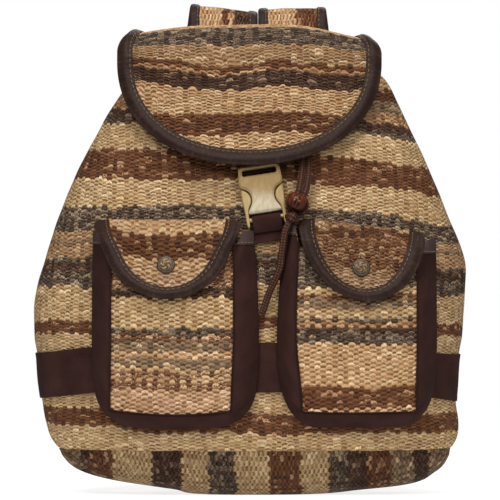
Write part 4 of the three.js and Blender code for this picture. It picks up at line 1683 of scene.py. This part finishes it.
@dataclass
class Strap:
    """A shoulder strap: kilim with a leather edge on each side."""

    side: str
    top: float
    low: float
    kilim: Kilim
    roll: float
    width: float = 55.6
    thick: float = 4.4
    low_lean: float = 0.32
    seam_inset: float = 6.3
    route: Array = table(  # share of the way from top to low, y, z
        (0, 44.1, 306), (0, 47.5, 335), (0, 50, 368), (0, 58, 386), (0, 71, 389), (0.02, 84, 378),
        (0.06, 93, 354), (0.2, 107, 296), (0.42, 119, 225), (0.66, 119, 152), (0.86, 101, 90),
        (0.97, 74, 54), (1, 55, 42.5),
    )
    binding: Binding = Binding(width=8.0, fold=1.8, inside=2.4, outside=3.1, puff=0.35)

    def build(self) -> None:
        """Makes the strap's cloth, edges and stitches."""
        path = points(mix(self.top, self.low, self.route[:, 0]), self.route[:, 1], self.route[:, 2])
        line = along_route(path, 24)
        share = np.linspace(0, 1, len(line))
        ahead = unit(np.gradient(line, axis=0))
        lean = -np.sign(self.low) * self.low_lean * smooth(share, 0.8, 1)
        twist = self.roll * bell(share, 0.3, 0.12)
        level = points(1.0, lean, twist)
        across = unit(level - ahead * np.sum(ahead * level, axis=1, keepdims=True))
        self.line, self.across, self.out = line, across, np.cross(across, ahead)
        self.run = lengths(line)
        self.build_cloth()
        for sign, letter in ((-1, "a"), (1, "b")):
            self.build_edge(sign, letter)

    def lay(self, wide: Array, raised: Numbers) -> Array:
        """Points of the strap from places across it and heights off its middle."""
        wide, raised = (part[..., None] for part in np.broadcast_arrays(wide, raised))
        return self.line[:, None] + self.across[:, None] * wide + self.out[:, None] * raised

    def build_cloth(self) -> None:
        """Makes the kilim strip, a little crowned."""
        half = self.width / 2 - self.binding.fold - GAP
        wide = np.linspace(-half, half, 37)[None, :] + 0 * self.run[:, None]
        crown = np.clip(1 - (wide / (half - 4)) ** 2, 0, 1)
        uneven = 0.3 * ripple(self.run[:, None], wide, 26, 21)
        outer = self.lay(wide, self.thick / 2 - 0.1 + crown * (0.7 + uneven))
        inner = self.lay(wide, 0.1 - self.thick / 2 - crown * (0.3 + uneven))
        cloth = handwoven(self.run[:, None], wide, 72)
        strap = shell(f"strap_{self.side}_cloth", outer, inner, cloth)
        dress(strap, self.kilim, Slot.KILIM, f"strap_{self.side}")

    def build_edge(self, sign: int, letter: str) -> None:
        """Makes one leather edge and its stitches on both faces.

        Args:
            sign: -1 for the edge on the viewer's left, 1 for the other.
            letter: Its letter in the solid's name.
        """
        section = self.binding.section()
        lump = 1 + 0.05 * ripple(self.run, self.run * 0, 20, 31 + sign)[:, None]
        raised = section[:, 1] * np.where(np.abs(section[:, 1]) > self.binding.inside, lump, 1)
        rings = self.lay(sign * (self.width / 2 - section[:, 0])[None, :] + 0 * raised, raised)
        around = np.concatenate([section[:, 0], section[:1, 0]])
        name = f"strap_{self.side}_edge_{letter}"
        edge = sweep(f"{name}_leather", rings, points(self.run[:, None], around[None, :]))
        dress(edge, Leather(), Slot.LEATHER, name)
        maker = MeshMaker()
        seam = np.full((len(self.run), 1), sign * (self.width / 2 - self.seam_inset))
        for height in (float(self.binding.top(self.seam_inset)) + 0.15, -self.binding.outside - 0.15):
            beyond = height + math.copysign(1, height)
            Stitching().add(maker, self.lay(seam, height)[:, 0], self.lay(seam, beyond)[:, 0])
        dress(maker.make(f"{name}_stitches"), Thread(), Slot.LEATHER)


# Pockets


@dataclass
class PocketFlap(BoundFlap):
    """A pocket's flap, in its own plane turned by its tilt."""

    pocket: "Pocket | None" = None
    x: float = 0.0
    top: float = 0.0
    tilt: float = 0.0
    lift: float = 6.0
    roof: float = 20.0
    root_lift: float = 3.7
    binding: Binding = Binding(width=9.8)
    seam_inset: float = 7.9
    swell: float = 0.4
    sway: float = 0.0
    corner: float = 6.0
    pinch: float = 0.0
    wave: tuple[float, ...] = (0.0, 0.0, 0.0)

    def place(self, x: Array, q: Array, offset: Numbers) -> Array:
        """Lays the flap over the pocket's front.

        Args:
            x: Place across the flap.
            q: Place down from its top edge.
            offset: Height off the middle of the cloth.

        Returns:
            The points.
        """
        turn = math.radians(self.tilt)
        beside = np.clip((np.abs(x) - self.half + self.corner) / self.corner, 0, 1)
        q = q + self.corner * (1 - np.sqrt(1 - beside**2)) * np.exp(-np.maximum(q, 0) / (2 * self.corner))
        x = x * (1 - self.pinch * bell(q / self.drop, 0.4, 0.25))
        across = self.x + x * math.cos(turn) + q * math.sin(turn)
        across = across + self.sway * (np.maximum(q, 0) / self.drop) ** 1.3
        z = self.top + x * math.sin(turn) - q * math.cos(turn)
        full = self.pocket.panel_lift(across, z) + self.lift
        rise = np.sin(math.pi / 2 * np.clip(q / self.roof, 0, 1))
        off = offset + 0.45 * ripple(across, z, 40, 17) * rise
        return self.pocket.bag.on_front(across, z, mix(self.root_lift, full, rise) + off)

    def level(self, middle: Array, x: Array, q: Array) -> Array:
        """Distance up from the flap's top edge, with its own slow wave."""
        return -q + np.interp(x, [-self.half * 0.7, 0, self.half * 0.8], self.wave)


@dataclass
class Snap:
    """A domed metal cap with a generic scroll in relief."""

    radius: float = 7.2
    height: float = 2.4
    relief: float = 0.28
    strands: int = 28
    scrolls: int = 5
    curl: float = 13.0
    border_at: float = 0.86
    rings: int = 34
    sides: int = 96

    def build(self, node: str, seat: Array, alongside: Array, down: Array) -> None:
        """Makes the cap on its seat.

        Args:
            node: The solid that it stands for.
            seat: Middle of its underside.
            alongside: A direction across its seat.
            down: The other direction across its seat.
        """
        outward = unit(np.cross(alongside, down))
        outward = outward * -np.sign(outward[1])
        first = unit(alongside)
        second = np.cross(outward, first)
        reach = np.linspace(0.02, 1, self.rings)
        share, angle = np.meshgrid(reach, angles(self.sides), indexing="ij")
        dome = np.sqrt(np.clip(1 - (share * 0.97) ** 2.6, 0, 1))
        rope = 0.5 + 0.5 * np.cos(self.strands * angle)
        scroll = 0.5 + 0.5 * np.cos(self.scrolls * angle + self.curl * share) * np.cos(9 * share - 1)
        border = bell(share, self.border_at, 0.05)
        field_share = 1 - smooth(share, 0.68, 0.76)
        raised = border * (0.5 + 0.5 * rope) + field_share * scroll
        top = self.height * (0.25 + 0.75 * dome) + self.relief * (raised - 0.5) * smooth(1 - share, 0.02, 0.1)
        disc_points = first * (share * np.cos(angle))[..., None] + second * (share * np.sin(angle))[..., None]
        upper = seat + disc_points * self.radius + outward * top[..., None]
        lower = seat + disc_points * (self.radius * 0.96) + outward * 0.02
        cap = shell(f"{node}_cap", upper, lower, closed(points(raised, share)), ring=True)
        dress(cap, Pewter(), Slot.SNAP, node)


@dataclass
class Pocket:
    """A front pocket: gusset, kilim panel, bound flap and snap."""

    bag: Bag
    side: str
    left: float
    right: float
    panel_left: float
    panel_right: float
    panel_chart: Chart
    flap: PocketFlap
    low: float = 55.0
    panel_low: float = 67.0
    base_round: Pair = (27.0, 33.0)  # width, height
    panel_round: Pair = (2.0, 2.0)  # width, height
    base_lift: float = 3.5
    depth: float = 20.0
    flatness: float = 0.4
    draw_in: float = 5.0
    draw_over: float = 50.0
    mouth_base: float = 9.0
    mouth_rim: float = 20.0
    mouth_panel: float = 23.0
    lean: Pair = (1.2, 6.0)  # left, right
    rim_lean: Pair = (0.0, 0.0)  # left, right
    wall_rows: int = 15
    turn_over: tuple[Pair, ...] = ((0.25, 1.9), (0.7, 2.4), (1.0, 2.2))  # inset, lift
    panel_grid: tuple[int, int] = (79, 171)
    hem_drop: float = 11.0
    hem_columns: int = 9
    hem_section: tuple[float, ...] = (0.9, 1.3, 1.3, 1.2, 0.8)
    taper: Pair = (3.4, 3.6)  # left, right
    panel_taper: Pair = (-1.0, 3.0)  # left, right
    smile: float = 6.6
    snap_at: Pair = (0.0, 36.0)  # across the flap, down it

    def mouth(self, x: Array, below: float) -> Array:
        """Height of the open top edge, level with the flap's sewn edge."""
        return self.flap.top - below + math.tan(math.radians(self.flap.tilt)) * (x - self.flap.x)

    def panel_lift(self, x: Array, z: Array) -> Array:
        """Says how far the panel stands off the bag.

        Args:
            x: Place across the bag.
            z: Height.

        Returns:
            The lift.
        """
        middle = np.full_like(np.asarray(x, float), (self.left + self.right) / 2)
        flatten = self.flatness * (self.bag.front(x, z) - self.bag.front(middle, z))
        mouth = self.mouth(x, self.mouth_panel)
        return self.depth + flatten - self.draw_in * smooth(z, mouth - self.draw_over, mouth)

    def drawn(self, x: Array, z: Array, low: float, taper: Pair, lean: Pair) -> tuple[Array, Array]:
        """Draws points in towards the pocket's foot and its mouth, and curves its lower line.

        Args:
            x: Places across the pocket.
            z: Heights.
            low: The lowest line.
            taper: How far the left and right sides draw in at the foot.
            lean: How far they draw in at the mouth.

        Returns:
            The new places and heights.
        """
        side = (2 * x - self.left - self.right) / (self.right - self.left)
        up = np.clip((z - low) / (self.mouth(x, 0) - low), 0, 1)
        foot = np.where(side < 0, *taper) * (1 - smooth(z, low, low + 66))
        inward = foot + np.where(side < 0, *lean) * up**4
        curve = self.smile * (side**2 - 0.3) * (1 - smooth(z, low, low + 16))
        return x - side * inward, z + curve

    def outline(self, left: float, right: float, low: float, curve: Pair, below: float) -> Array:
        """A U-shaped outline in the front view, from its left mouth round to its right mouth.

        Args:
            left: Its left side.
            right: Its right side.
            low: Its lowest line.
            curve: Width and height of its lower corners.
            below: Depth of its mouth below the flap's sewn edge.

        Returns:
            Points as x and z.
        """
        wide, high = curve
        up = np.linspace(1, 0, 40, endpoint=False)
        angle = np.linspace(0, math.pi / 2, 22)
        walls = [points(x, mix(low + high, self.mouth(np.float64(x), below), up)) for x in (left, right)]
        first = points(left + wide - wide * np.cos(angle), low + high - high * np.sin(angle))
        floor = points(np.linspace(left + wide, right - wide, 48)[1:-1], low)
        last = points(right - wide + wide * np.sin(angle), low + high - high * np.cos(angle))
        return np.vstack([walls[0], first, floor, last, walls[1][::-1]])

    def build(self) -> None:
        """Makes the gusset, the panel, the flap and the snap."""
        self.flap.pocket = self
        self.build_gusset()
        self.build_panel()
        cloth, binding = self.flap.build()
        off = CLOTH / 2 + 0.2
        x, q = np.array(self.snap_at)
        seat, across, below = (self.flap.place(x + a, q + b, off) for a, b in ((0, 0), (1, 0), (0, 1)))
        Snap().build(f"pocket_{self.side}_snap", seat, across - seat, below - seat)

    def build_gusset(self) -> None:
        """Makes the brown side wall, sewn to the bag and turned over the panel's edge."""
        base = self.outline(self.left, self.right, self.low, self.base_round, self.mouth_base)
        sides = self.panel_left, self.panel_right
        rim = self.outline(*sides, self.panel_low, self.panel_round, self.mouth_rim)
        base = points(*self.drawn(*base.T, self.low, self.taper, self.lean))
        rim = points(*self.drawn(*rim.T, self.panel_low, self.panel_taper, self.rim_lean))
        full = self.panel_lift(rim[:, 0], rim[:, 1])
        share = np.linspace(0, 1, self.wall_rows)[:, None]
        x = mix(base[:, 0], rim[:, 0], share)
        upper = smooth(base[:, 1], self.flap.top - 70, self.flap.top - 15)
        late = share + upper * (smooth(share, 0.45, 1.0) - share)
        z = mix(base[:, 1], rim[:, 1], late)
        lift = mix(self.base_lift, full, np.sin(share * math.pi / 2))
        run = lengths(np.stack([base[:, 0], base[:, 0] * 0, base[:, 1]], axis=1))
        fold = ripple(run, share * 18, 26, 40) * 0.8 + ripple(run, share * 6, 11, 41) * 0.35
        lift = lift + np.sin(math.pi * share) * (1.0 + fold)
        aside = (self.panel_left + self.panel_right) / 2 - rim[:, 0]
        inward = np.sign(aside) * smooth(np.abs(aside), 20, 45)
        upward = 1 - smooth(rim[:, 1], self.panel_low + 3.0, self.panel_low + 6.0)
        inset, proud = np.array(self.turn_over).T[..., None]
        x = np.vstack([x, rim[:, 0] + inward * inset])
        z = np.vstack([z, rim[:, 1] + upward * inset])
        lift = np.vstack([lift, full + proud])
        outer = self.bag.on_front(x, z, lift + TWILL / 2)
        under = np.where(np.arange(len(x)) < self.wall_rows, 1, -0.2)[:, None]
        inner = self.bag.on_front(x, z, lift - TWILL / 2 * under)
        cloth = points(np.broadcast_to(run, x.shape), np.linspace(0, 26, len(x))[:, None])
        name = f"pocket_{self.side}_gusset"
        gusset = shell(f"{name}_cloth", outer, inner, cloth)
        dress(gusset, PlainCloth(), Slot.TWILL, name)
        wall = outer[1 : self.wall_rows - 1]
        for letter, face in (("a", wall), ("b", wall[:, ::-1])):
            self.build_hem(f"pocket_{self.side}_hem_{letter}", face[:, : self.hem_columns])

    def build_hem(self, name: str, wall: Array) -> None:
        """Makes the turned hem at one end of the gusset, with its row of stitches.

        Args:
            name: Name of the piece.
            wall: Points of the gusset's face, from the bag outwards and from the mouth down.
        """
        rows = len(self.hem_section)
        drops = np.arange(rows) * self.hem_drop / (rows - 1)
        levels = np.minimum(wall[0, 0, 2] - drops, wall[:, :1, 2] - 0.1 * drops)
        face = np.array([between(-level, -line[:, 2], line) for line, level in zip(wall, levels)])
        out = unit(np.cross(np.gradient(face, axis=0), np.gradient(face, axis=1)))
        out = out * -np.sign(out[..., 1:2])
        proud = np.array(self.hem_section)[:, None]
        size = np.meshgrid(drops, np.arange(len(face)) * 2.4)
        hem = shell(name, face + out * proud, face + out * 0.1, points(*size))
        # The hem is the gusset's cotton in a lighter, greyer colour: painted sheen where the fold catches the
        # light.
        dress(hem, PlainCloth("turned_hem", tint(71, 57, 55)), Slot.TWILL)
        maker = MeshMaker()
        seam = mix(face[:, 3], face[:, 4], 0.4)
        Stitching(length=2.4, pitch=3.4).add(maker, seam + out[:, 3] * 1.1, seam + out[:, 3] * 2.1)
        dress(maker.make(f"{name}_stitches"), Thread(), Slot.TWILL)

    def build_panel(self) -> None:
        """Makes the kilim front panel."""
        clear = 2 * GAP
        columns, rows = self.panel_grid
        width = np.linspace(self.panel_left + clear, self.panel_right - clear, columns)
        x, share = np.meshgrid(width, np.linspace(0, 1, rows))
        z = mix(self.panel_low + clear, self.mouth(x, self.mouth_panel), share)
        x, z = self.drawn(x, z, self.panel_low, self.panel_taper, self.rim_lean)
        lift = self.panel_lift(x, z) + 0.4 * ripple(x, z, 30, 51)
        inner = self.bag.on_front(x, z, lift - CLOTH / 2)
        cloth = handwoven(from_middle(inner), z, 76, 0.8)
        name = f"pocket_{self.side}_panel"
        kilim = Kilim(f"{name}_kilim", self.panel_chart, grain=8.8, row=1.86, tone=0.98)
        woven = self.flap.relief * (kilim.relief(cloth[..., 0], cloth[..., 1]) - 0.7)
        panel = shell(f"{name}_cloth", self.bag.on_front(x, z, lift + CLOTH / 2 + woven), inner, cloth)
        dress(panel, kilim, Slot.KILIM, name)


# Buckle


@dataclass
class Buckle:
    """The fastened side-release buckle and the webbing at each end."""

    bag: Bag
    x: float = 9.4
    z: float = 244.2
    stand: float = 6.4
    skew: float = 9.0
    thick: float = 7.6
    prong_thick: float = 6.0
    bevel: float = 1.1
    bevel_steps: int = 3
    crown_steps: tuple[Pair, ...] = ((0.25, 0.3), (0.3, 0.2), (0.3, 0.1))  # inset, share
    crease: float = 50.0
    web_half: float = 11.5
    web_thick: float = 1.3
    slot: Triple = (25.2, 2.9, 14.5)  # width, height, middle
    socket_side: Array = table(
        (13.2, -19), (13.2, -16.9), (11.3, -13.5), (9.4, -10.3), (8.9, -6.7), (9.6, -2.7), (11.9, 0.6),
        (16.3, 2.6), (17.7, 5.4), (16.5, 18.6), (14.9, 20.2),
    )
    arm_side: Array = table(
        (16.2, -29.6), (16.2, -15.9), (17.2, 0.6), (16.2, 1.8), (12.7, -0.2), (10.4, -3.1), (9.7, -6.7),
        (10.2, -9.9), (12.1, -13.1), (13.6, -16.5), (13.6, -29.6),
    )
    bar_z: float = -23.3
    bar_radius: float = 1.6

    def __post_init__(self) -> None:
        """Works out where the buckle lies on the bag."""
        near = self.bag.front(np.float64(self.x), np.array([self.z - 8, self.z + 8]))
        slope = math.atan2(near[1] - near[0], 16)
        seat = self.bag.on_front(np.float64(self.x), np.float64(self.z), self.stand) * MM
        lean = Matrix.Rotation(-slope, 4, "X") @ Matrix.Rotation(-math.radians(self.skew), 4, "Y")
        self.seat = Matrix.Translation(Vector(seat)) @ lean

    def build(self) -> None:
        """Makes the socket, the prongs and both tabs."""
        self.build_socket()
        self.build_prongs()
        self.build_tabs()

    def plate(self, name: str, outlines: Sequence[Array], thick: float, crown: float) -> Object:
        """Makes a moulded plate with rounded edges and a crowned front.

        Args:
            name: Name of the piece.
            outlines: Closed outlines in the front view; those inside others are holes.
            thick: Thickness of the plate.
            crown: How far the front rises in its middle.

        Returns:
            The plate, in the buckle's place.
        """
        curve = bpy.data.curves.new(name, "CURVE")
        curve.dimensions = "2D"
        curve.fill_mode = "BOTH"
        curve.extrude = (thick / 2 - self.bevel) * MM
        curve.bevel_depth = self.bevel * MM
        curve.bevel_resolution = self.bevel_steps
        curve.offset = -self.bevel * MM
        for outline in outlines:
            spline = curve.splines.new("POLY")
            spline.points.add(len(outline) - 1)
            for point, (x, z) in zip(spline.points, outline):
                point.co = (x * MM, z * MM, 0, 1)
            spline.use_cyclic_u = True
        holder = link(bpy.data.objects.new(f"{name}_outline", curve))
        graph = bpy.context.evaluated_depsgraph_get()
        mesh = bpy.data.meshes.new_from_object(holder.evaluated_get(graph))
        bpy.data.objects.remove(holder)
        bpy.data.curves.remove(curve)
        shape = bmesh.new()
        shape.from_mesh(mesh)
        bmesh.ops.remove_doubles(shape, verts=shape.verts, dist=1e-6)
        fronts = [f for f in shape.faces if f.normal.z > 0.999]
        for inset, rise in self.crown_steps:
            bmesh.ops.inset_region(shape, faces=fronts, thickness=inset * MM, depth=rise * crown * MM)
        upright = Matrix.Rotation(math.pi / 2, 4, "X")
        bmesh.ops.transform(shape, matrix=self.seat @ upright, verts=shape.verts)
        for face in shape.faces:
            face.smooth = True
        shape.to_mesh(mesh)
        shape.free()
        mesh.name = name
        piece = link(bpy.data.objects.new(name, mesh))
        mesh.set_sharp_from_angle(angle=math.radians(self.crease))
        piece.modifiers.new("even_shading", "WEIGHTED_NORMAL").keep_sharp = True
        return piece

    def build_socket(self) -> None:
        """Makes the socket with its webbing slot."""
        outline = rounded(np.vstack([self.socket_side, (self.socket_side * (-1, 1))[::-1]]), 2)
        width, height, middle = self.slot
        room = 2 * self.bevel
        half, tall = (width + room) / 2, (height + room) / 2
        end = np.array([(half - 1, -tall), (half, 1 - tall), (half, tall - 1), (half - 1, tall)])
        hole = np.vstack([end, -end]) + (0, middle)
        plate = self.plate("buckle_socket_shell", [outline, hole], self.thick, 1.0)
        dress(plate, Plastic(), Slot.BUCKLE, "buckle_socket")

    def build_prongs(self) -> None:
        """Makes the two side arms and the webbing bar between them."""
        outlines = [rounded(side, 2) for side in (self.arm_side, (self.arm_side * (-1, 1))[::-1])]
        arms = self.plate("buckle_prong_arms", outlines, self.prong_thick, 0.3)
        # The arms take the same painted highlight over their lower half, in a paler khaki.
        khaki = Plastic("khaki_arms", tint(146, 120, 74), highlight_colour=tint(166, 142, 96))
        dress(arms, khaki, Slot.BUCKLE, "buckle_prongs")
        reach = self.arm_side[0, 0] - 1.2
        path = points(np.linspace(-reach, reach, 9), 0.0, self.bar_z)
        rings, cloth = tube(path, np.full((9, 20), self.bar_radius), 20)
        bar = sweep("buckle_prong_bar", self.placed(rings), cloth)
        dress(bar, khaki, Slot.BUCKLE, "buckle_prongs")

    def placed(self, local: Array) -> Array:
        """Moves points from the buckle's own frame to the bag's."""
        turn = np.array(self.seat.to_3x3())
        return local @ turn.T + np.array(self.seat.translation) / MM

    def tab(self, name: str, node: str, side_view: Sequence[Pair]) -> None:
        """Makes a strip of webbing from its line in the side view.

        Args:
            name: Name of the piece.
            node: The solid that it stands for.
            side_view: Points as y and z.
        """
        route = points(0.0, *np.array(side_view, float).T)
        line = evenly(along_route(route, 12), 0.5)
        ahead = unit(np.gradient(line, axis=0))
        out = np.cross(ahead, (1.0, 0.0, 0.0))
        wide = np.linspace(-self.web_half, self.web_half, 47)
        rib = 0.1 * np.cos(wide / 1.9 * TURN) - 0.25 * (np.abs(wide) / self.web_half) ** 8
        skins = []
        for sign in (1, -1):
            raised = sign * (self.web_thick / 2 + rib)
            grid = line[:, None] + out[:, None] * raised[None, :, None]
            grid[..., 0] += wide
            skins.append(self.placed(grid))
        piece = shell(name, *skins, points(wide[None, :], lengths(line)[:, None]))
        dress(piece, PlainCloth(), Slot.TWILL, node)

    def build_tabs(self) -> None:
        """Makes the webbing from the lid to the socket and from the prongs to the body."""
        behind = self.thick / 2 + GAP + self.web_thick / 2
        through = [(1.4, 15.1), (2.6, 15.1), (behind - 0.6, 15.5), (behind, 17)]
        self.tab("lid_tab_webbing", "lid_tab", [*through, (behind, 22.5), (2.2, 30), (-0.9, 37)])
        loop = self.bar_radius + GAP + self.web_thick / 2
        turn = np.linspace(1.1, 0, 7)[1:-1] * math.pi
        over = [(loop * math.cos(a), self.bar_z + loop * math.sin(a)) for a in turn]
        front = [(2.0, -33.6), (0.2, -31.0), (-1.9, -26.4)]
        back = [(loop + 0.4, -26.5), (4.6, -30.5), (4.95, -34), (4.95, -41.4)]
        self.tab("body_tab_webbing", "body_tab", [*front, *over, (loop, self.bar_z), *back])


def rounded(outline: Array, times: int) -> Array:
    """Cuts a closed outline's corners, again for each time.

    Args:
        outline: Points of the outline.
        times: How often its corners are cut.

    Returns:
        Points of the rounder outline.
    """
    cuts = 0.22, 0.78
    for _ in range(times):
        after = np.roll(outline, -1, axis=0)
        outline = np.stack([mix(outline, after, cut) for cut in cuts], axis=1).reshape(-1, 2)
    return outline


# Drawstring


@dataclass
class Drawstring:
    """Two braided strands from the mouth, a bead, a knot and a free tail."""

    bag: Bag
    radius: float = 2.75
    spread: float = 2.5
    ease: float = 0.3
    bead_at: Triple = (37.4, 233.8, 13.4)  # x, z, lift
    bead_radius: float = 8.7
    bead_bore: float = 5.2
    bead_swell: float = 1.3
    bead_lean: float = 24.0
    knot_at: Triple = (33.4, 222.0, 15.4)  # x, z, lift
    knot_size: float = 1.14
    strand: Array = table(  # x, z, lift
        (42, 322, 4.4), (43, 306, 4.2), (43.8, 290, 3.6), (44.2, 276, 3.6), (44.1, 264, 5),
        (43.5, 254, 8.6), (42, 245.6, 12.4),
    )
    tail: Array = table(  # x, z, lift
        (31, 217.6, 16.4), (28.6, 213.4, 17), (27, 207, 16.4), (26.1, 200, 15.4), (25, 192, 14),
        (24.2, 184, 12.4), (21.2, 175.2, 10), (17.6, 167.6, 7.6), (14, 159.2, 5.6), (11.2, 150.4, 4.4),
        (9.4, 145.0, 3.8),
    )

    def build(self) -> None:
        lean = math.radians(self.bead_lean)
        axis = np.array([-math.sin(lean), 0, -math.cos(lean)])
        across = np.array([math.cos(lean), 0, -math.sin(lean)])
        middle = self.bag.on_front(*np.array(self.bead_at, float))
        bead = self.build_bead(middle, axis)
        knot = self.build_knot()
        free = self.bag.on_front(*self.strand.T)
        reach = (self.bead_radius + 1) * np.linspace(-0.9, 0.78, 4)
        held = middle + axis * reach[:, None]
        for letter, side, others in (("a", -1, [bead, knot]), ("b", 1, [])):
            loose = free + across * side * (self.spread + self.ease)
            route = np.vstack([loose, held + across * side * self.spread])
            self.cord(f"drawstring_{letter}", route, "knot", others)
        self.cord("drawstring_tail", self.bag.on_front(*self.tail.T), "bare", [])

    def braided(self, path: Array) -> tuple[Array, Array]:
        """Lays rings of a round braid along a path.

        Args:
            path: Points of the path.

        Returns:
            The rings, and their cloth coordinates.
        """
        sides = 24
        braid = Braid()
        run = lengths(path)[:, None]
        turn = angles(sides) * braid.plaits
        slant = run * TURN / braid.pitch
        lattice = np.cos(turn + slant) * np.cos(turn - slant)
        ends = np.minimum(run, run[-1] - run)
        taper = 0.8 + 0.2 * smooth(ends, 0, 1.5)
        return tube(path, self.radius * (0.97 + 0.05 * lattice) * taper, sides)

    def cord(self, node: str, route: Array, far_end: str, others: Sequence[Object]) -> None:
        """Args:
            node: The solid that it stands for.
            route: Points that it passes.
            far_end: What is at its far end; not used.
            others: Pieces on it.
        """
        path = evenly(along_route(route, 16), 0.55)
        piece = sweep(f"{node}_cord", *self.braided(path))
        dress(piece, Braid(), Slot.CORD, node)
        lengths(path)[-1] * MM
        list(others)

    def build_bead(self, middle: Array, axis: Array) -> Object:
        """Makes the turned bead with its bore.

        Args:
            middle: Its middle.
            axis: Direction of its bore.

        Returns:
            The bead.
        """
        mouth = math.asin(self.bead_bore / self.bead_radius)
        angle = np.linspace(mouth, math.pi - mouth, 40)
        wall = np.stack([np.sin(angle), np.cos(angle)], axis=1) * self.bead_radius
        wall[:, 0] = mix(self.bead_bore, wall[:, 0], self.bead_swell)
        inside = self.bead_bore - 0.15
        profile = np.vstack([wall, (inside, wall[-1, 1] + 0.35), (inside, wall[0, 1] - 0.35)])
        first, second = carried_frames(middle + axis * np.arange(3)[:, None])
        spoke = spokes(first[0], second[0], angles(64))
        rings = middle + spoke[:, None] * profile[None, :, :1] - axis * profile[None, :, 1:]
        maker = MeshMaker()
        numbers = maker.add_points(rings)
        faces = quads(closed(np.concatenate([numbers, numbers[:1]])))
        maker.add_faces(faces, np.zeros((*faces.shape, 2)))
        return dress(maker.make("bead_turned"), Wood(), Slot.BEAD, "bead")

    def build_knot(self) -> Object:
        """Makes the overhand knot in the cord.

        Returns:
            The knot.
        """
        t = np.linspace(0.25, TURN - 0.1, 150)
        turned = points(np.sin(t) + 2 * np.sin(2 * t), np.cos(t) - 2 * np.cos(2 * t), -1.5 * np.sin(3 * t))
        middle = self.bag.on_front(*np.array(self.knot_at, float))
        path = evenly(middle + turned * self.knot_size * (1.0, 0.8, 1.15), 0.5)
        piece = sweep("knot_cord", *self.braided(path))
        return dress(piece, Braid(), Slot.CORD, "knot")


# The whole backpack


def make_pockets(bag: Bag) -> tuple[Pocket, Pocket]:
    """Sets out the two pockets.

    Args:
        bag: The bag that carries them.

    Returns:
        The left and the right pocket.
    """
    left_flap = PocketFlap(
        "pocket_left_flap", "pocket_left_flap",
        Kilim(
            "left_flap_kilim",
            ((-70, ROSE), (-43.0, CREAM), (-29.6, BROWN), (-10.0, CREAM), (10.0, CREAM)),
            grain=9.6, row=1.9, tone=0.78,
        ),
        half=59.4, drop=63.2, power=1.92, x=-65.8, top=220.5, pinch=0.06, wave=(-3.0, 2.6, 1.0),
    )
    right_flap = PocketFlap(
        "pocket_right_flap", "pocket_right_flap",
        Kilim(
            "right_flap_kilim",
            (
                (-70, ROSE), (-37.0, TAN), (-33.0, RUSSET), (-25.4, TAN), (-22.6, RUSSET),
                (-8.6, BROWN), (-3.4, TAN), (10.0, TAN),
            ),
            grain=8.4, row=1.42, ragged=1.8, fleck_share=0.34, tone=0.65,
        ),
        half=50.8, drop=60.6, power=2.02, x=89.4, top=216.2, tilt=-6.6, sway=7.0,
    )
    left_panel = (
        (0, ROSE), (85.4, TWEED), (91.0, CREAM), (94.0, TWEED), (99.5, CREAM), (102.0, ASH),
        (110.6, CREAM), (114.9, ASH), (123.4, TWEED), (128.3, CHARCOAL), (133.6, STRAW), (157.6, UMBER),
        (166.0, TWEED), (240.0, TWEED),
    )
    right_panel = (
        (0, CREAM), (70.4, BROWN), (87.2, CREAM), (121.0, CHARCOAL), (130.0, UMBER), (134.4, TAN),
        (138.8, CHARCOAL), (142.5, STRAW), (150.0, ASH), (157.2, BROWN), (160.4, STRAW),
        (166.4, CHARCOAL), (240.0, CHARCOAL),
    )
    left = Pocket(bag, "left", -126.2, 7.4, -111.0, -12.6, left_panel, left_flap, snap_at=(-0.8, 36.0))
    right = Pocket(
        bag, "right", 20.8, 149.4, 36.0, 133.3, right_panel, right_flap, snap_at=(-0.6, 34.2),
        mouth_base=5.0, lean=(13.0, 1.0), rim_lean=(6.0, 0.0), taper=(7.0, 4.0), panel_taper=(6.6, 0.8),
        smile=1.6,
    )
    return left, right


def make_lid() -> Lid:
    """Sets out the lid.

    Returns:
        The lid.
    """
    kilim = Kilim(
        "lid_kilim",
        (
            (250, CREAM), (288.0, BROWN), (304.0, CREAM), (325.4, UMBER), (339.4, TAN), (342.4, BROWN),
            (346.4, FAWN), (361.0, CHARCOAL), (385.0, CREAM), (420.0, BROWN), (440.0, CREAM),
            (470.0, CHARCOAL), (480.0, CREAM), (520.0, CREAM),
        ),
        grain=10.2, row=1.34, tone=0.88,
    )
    return Lid(
        "lid_flap", "flap", kilim, half=106.0, drop=83.4, power=2.15, centre=-0.5, lead=1.0,
        rows=112, columns=168, binding=Binding(width=12.6), seam_inset=10.4,
    )


def make_straps() -> tuple[Strap, Strap]:
    """Sets out the two shoulder straps.

    Returns:
        The left and the right strap.
    """
    left = ((-40, CREAM), (-1.0, BROWN), (4.0, TAN), (8.0, UMBER), (40.0, UMBER))
    right = ((-40, CREAM), (3.0, BROWN), (40.0, BROWN))
    return (
        Strap("left", -21.4, -108.0, Kilim("strap_left_kilim", left), roll=-0.12),
        Strap("right", 34.4, 112.0, Kilim("strap_right_kilim", right), roll=0.02),
    )


def write_size() -> None:
    """Updates the scene's view layer."""
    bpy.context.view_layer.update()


def main() -> None:
    """Builds the backpack piece by piece in its studio."""
    logging.basicConfig(level=logging.INFO, format="%(message)s")
    studio = Studio()
    studio.set_camera()
    bag = Bag()
    Drawstring(bag).build()
    bag.build()
    lid_cloth, lid_binding = make_lid().build()
    for pocket in make_pockets(bag):
        pocket.build()
    for strap in make_straps():
        strap.build()
    Buckle(bag).build()
    studio.build()
    write_size()


if __name__ == "__main__":
    main()
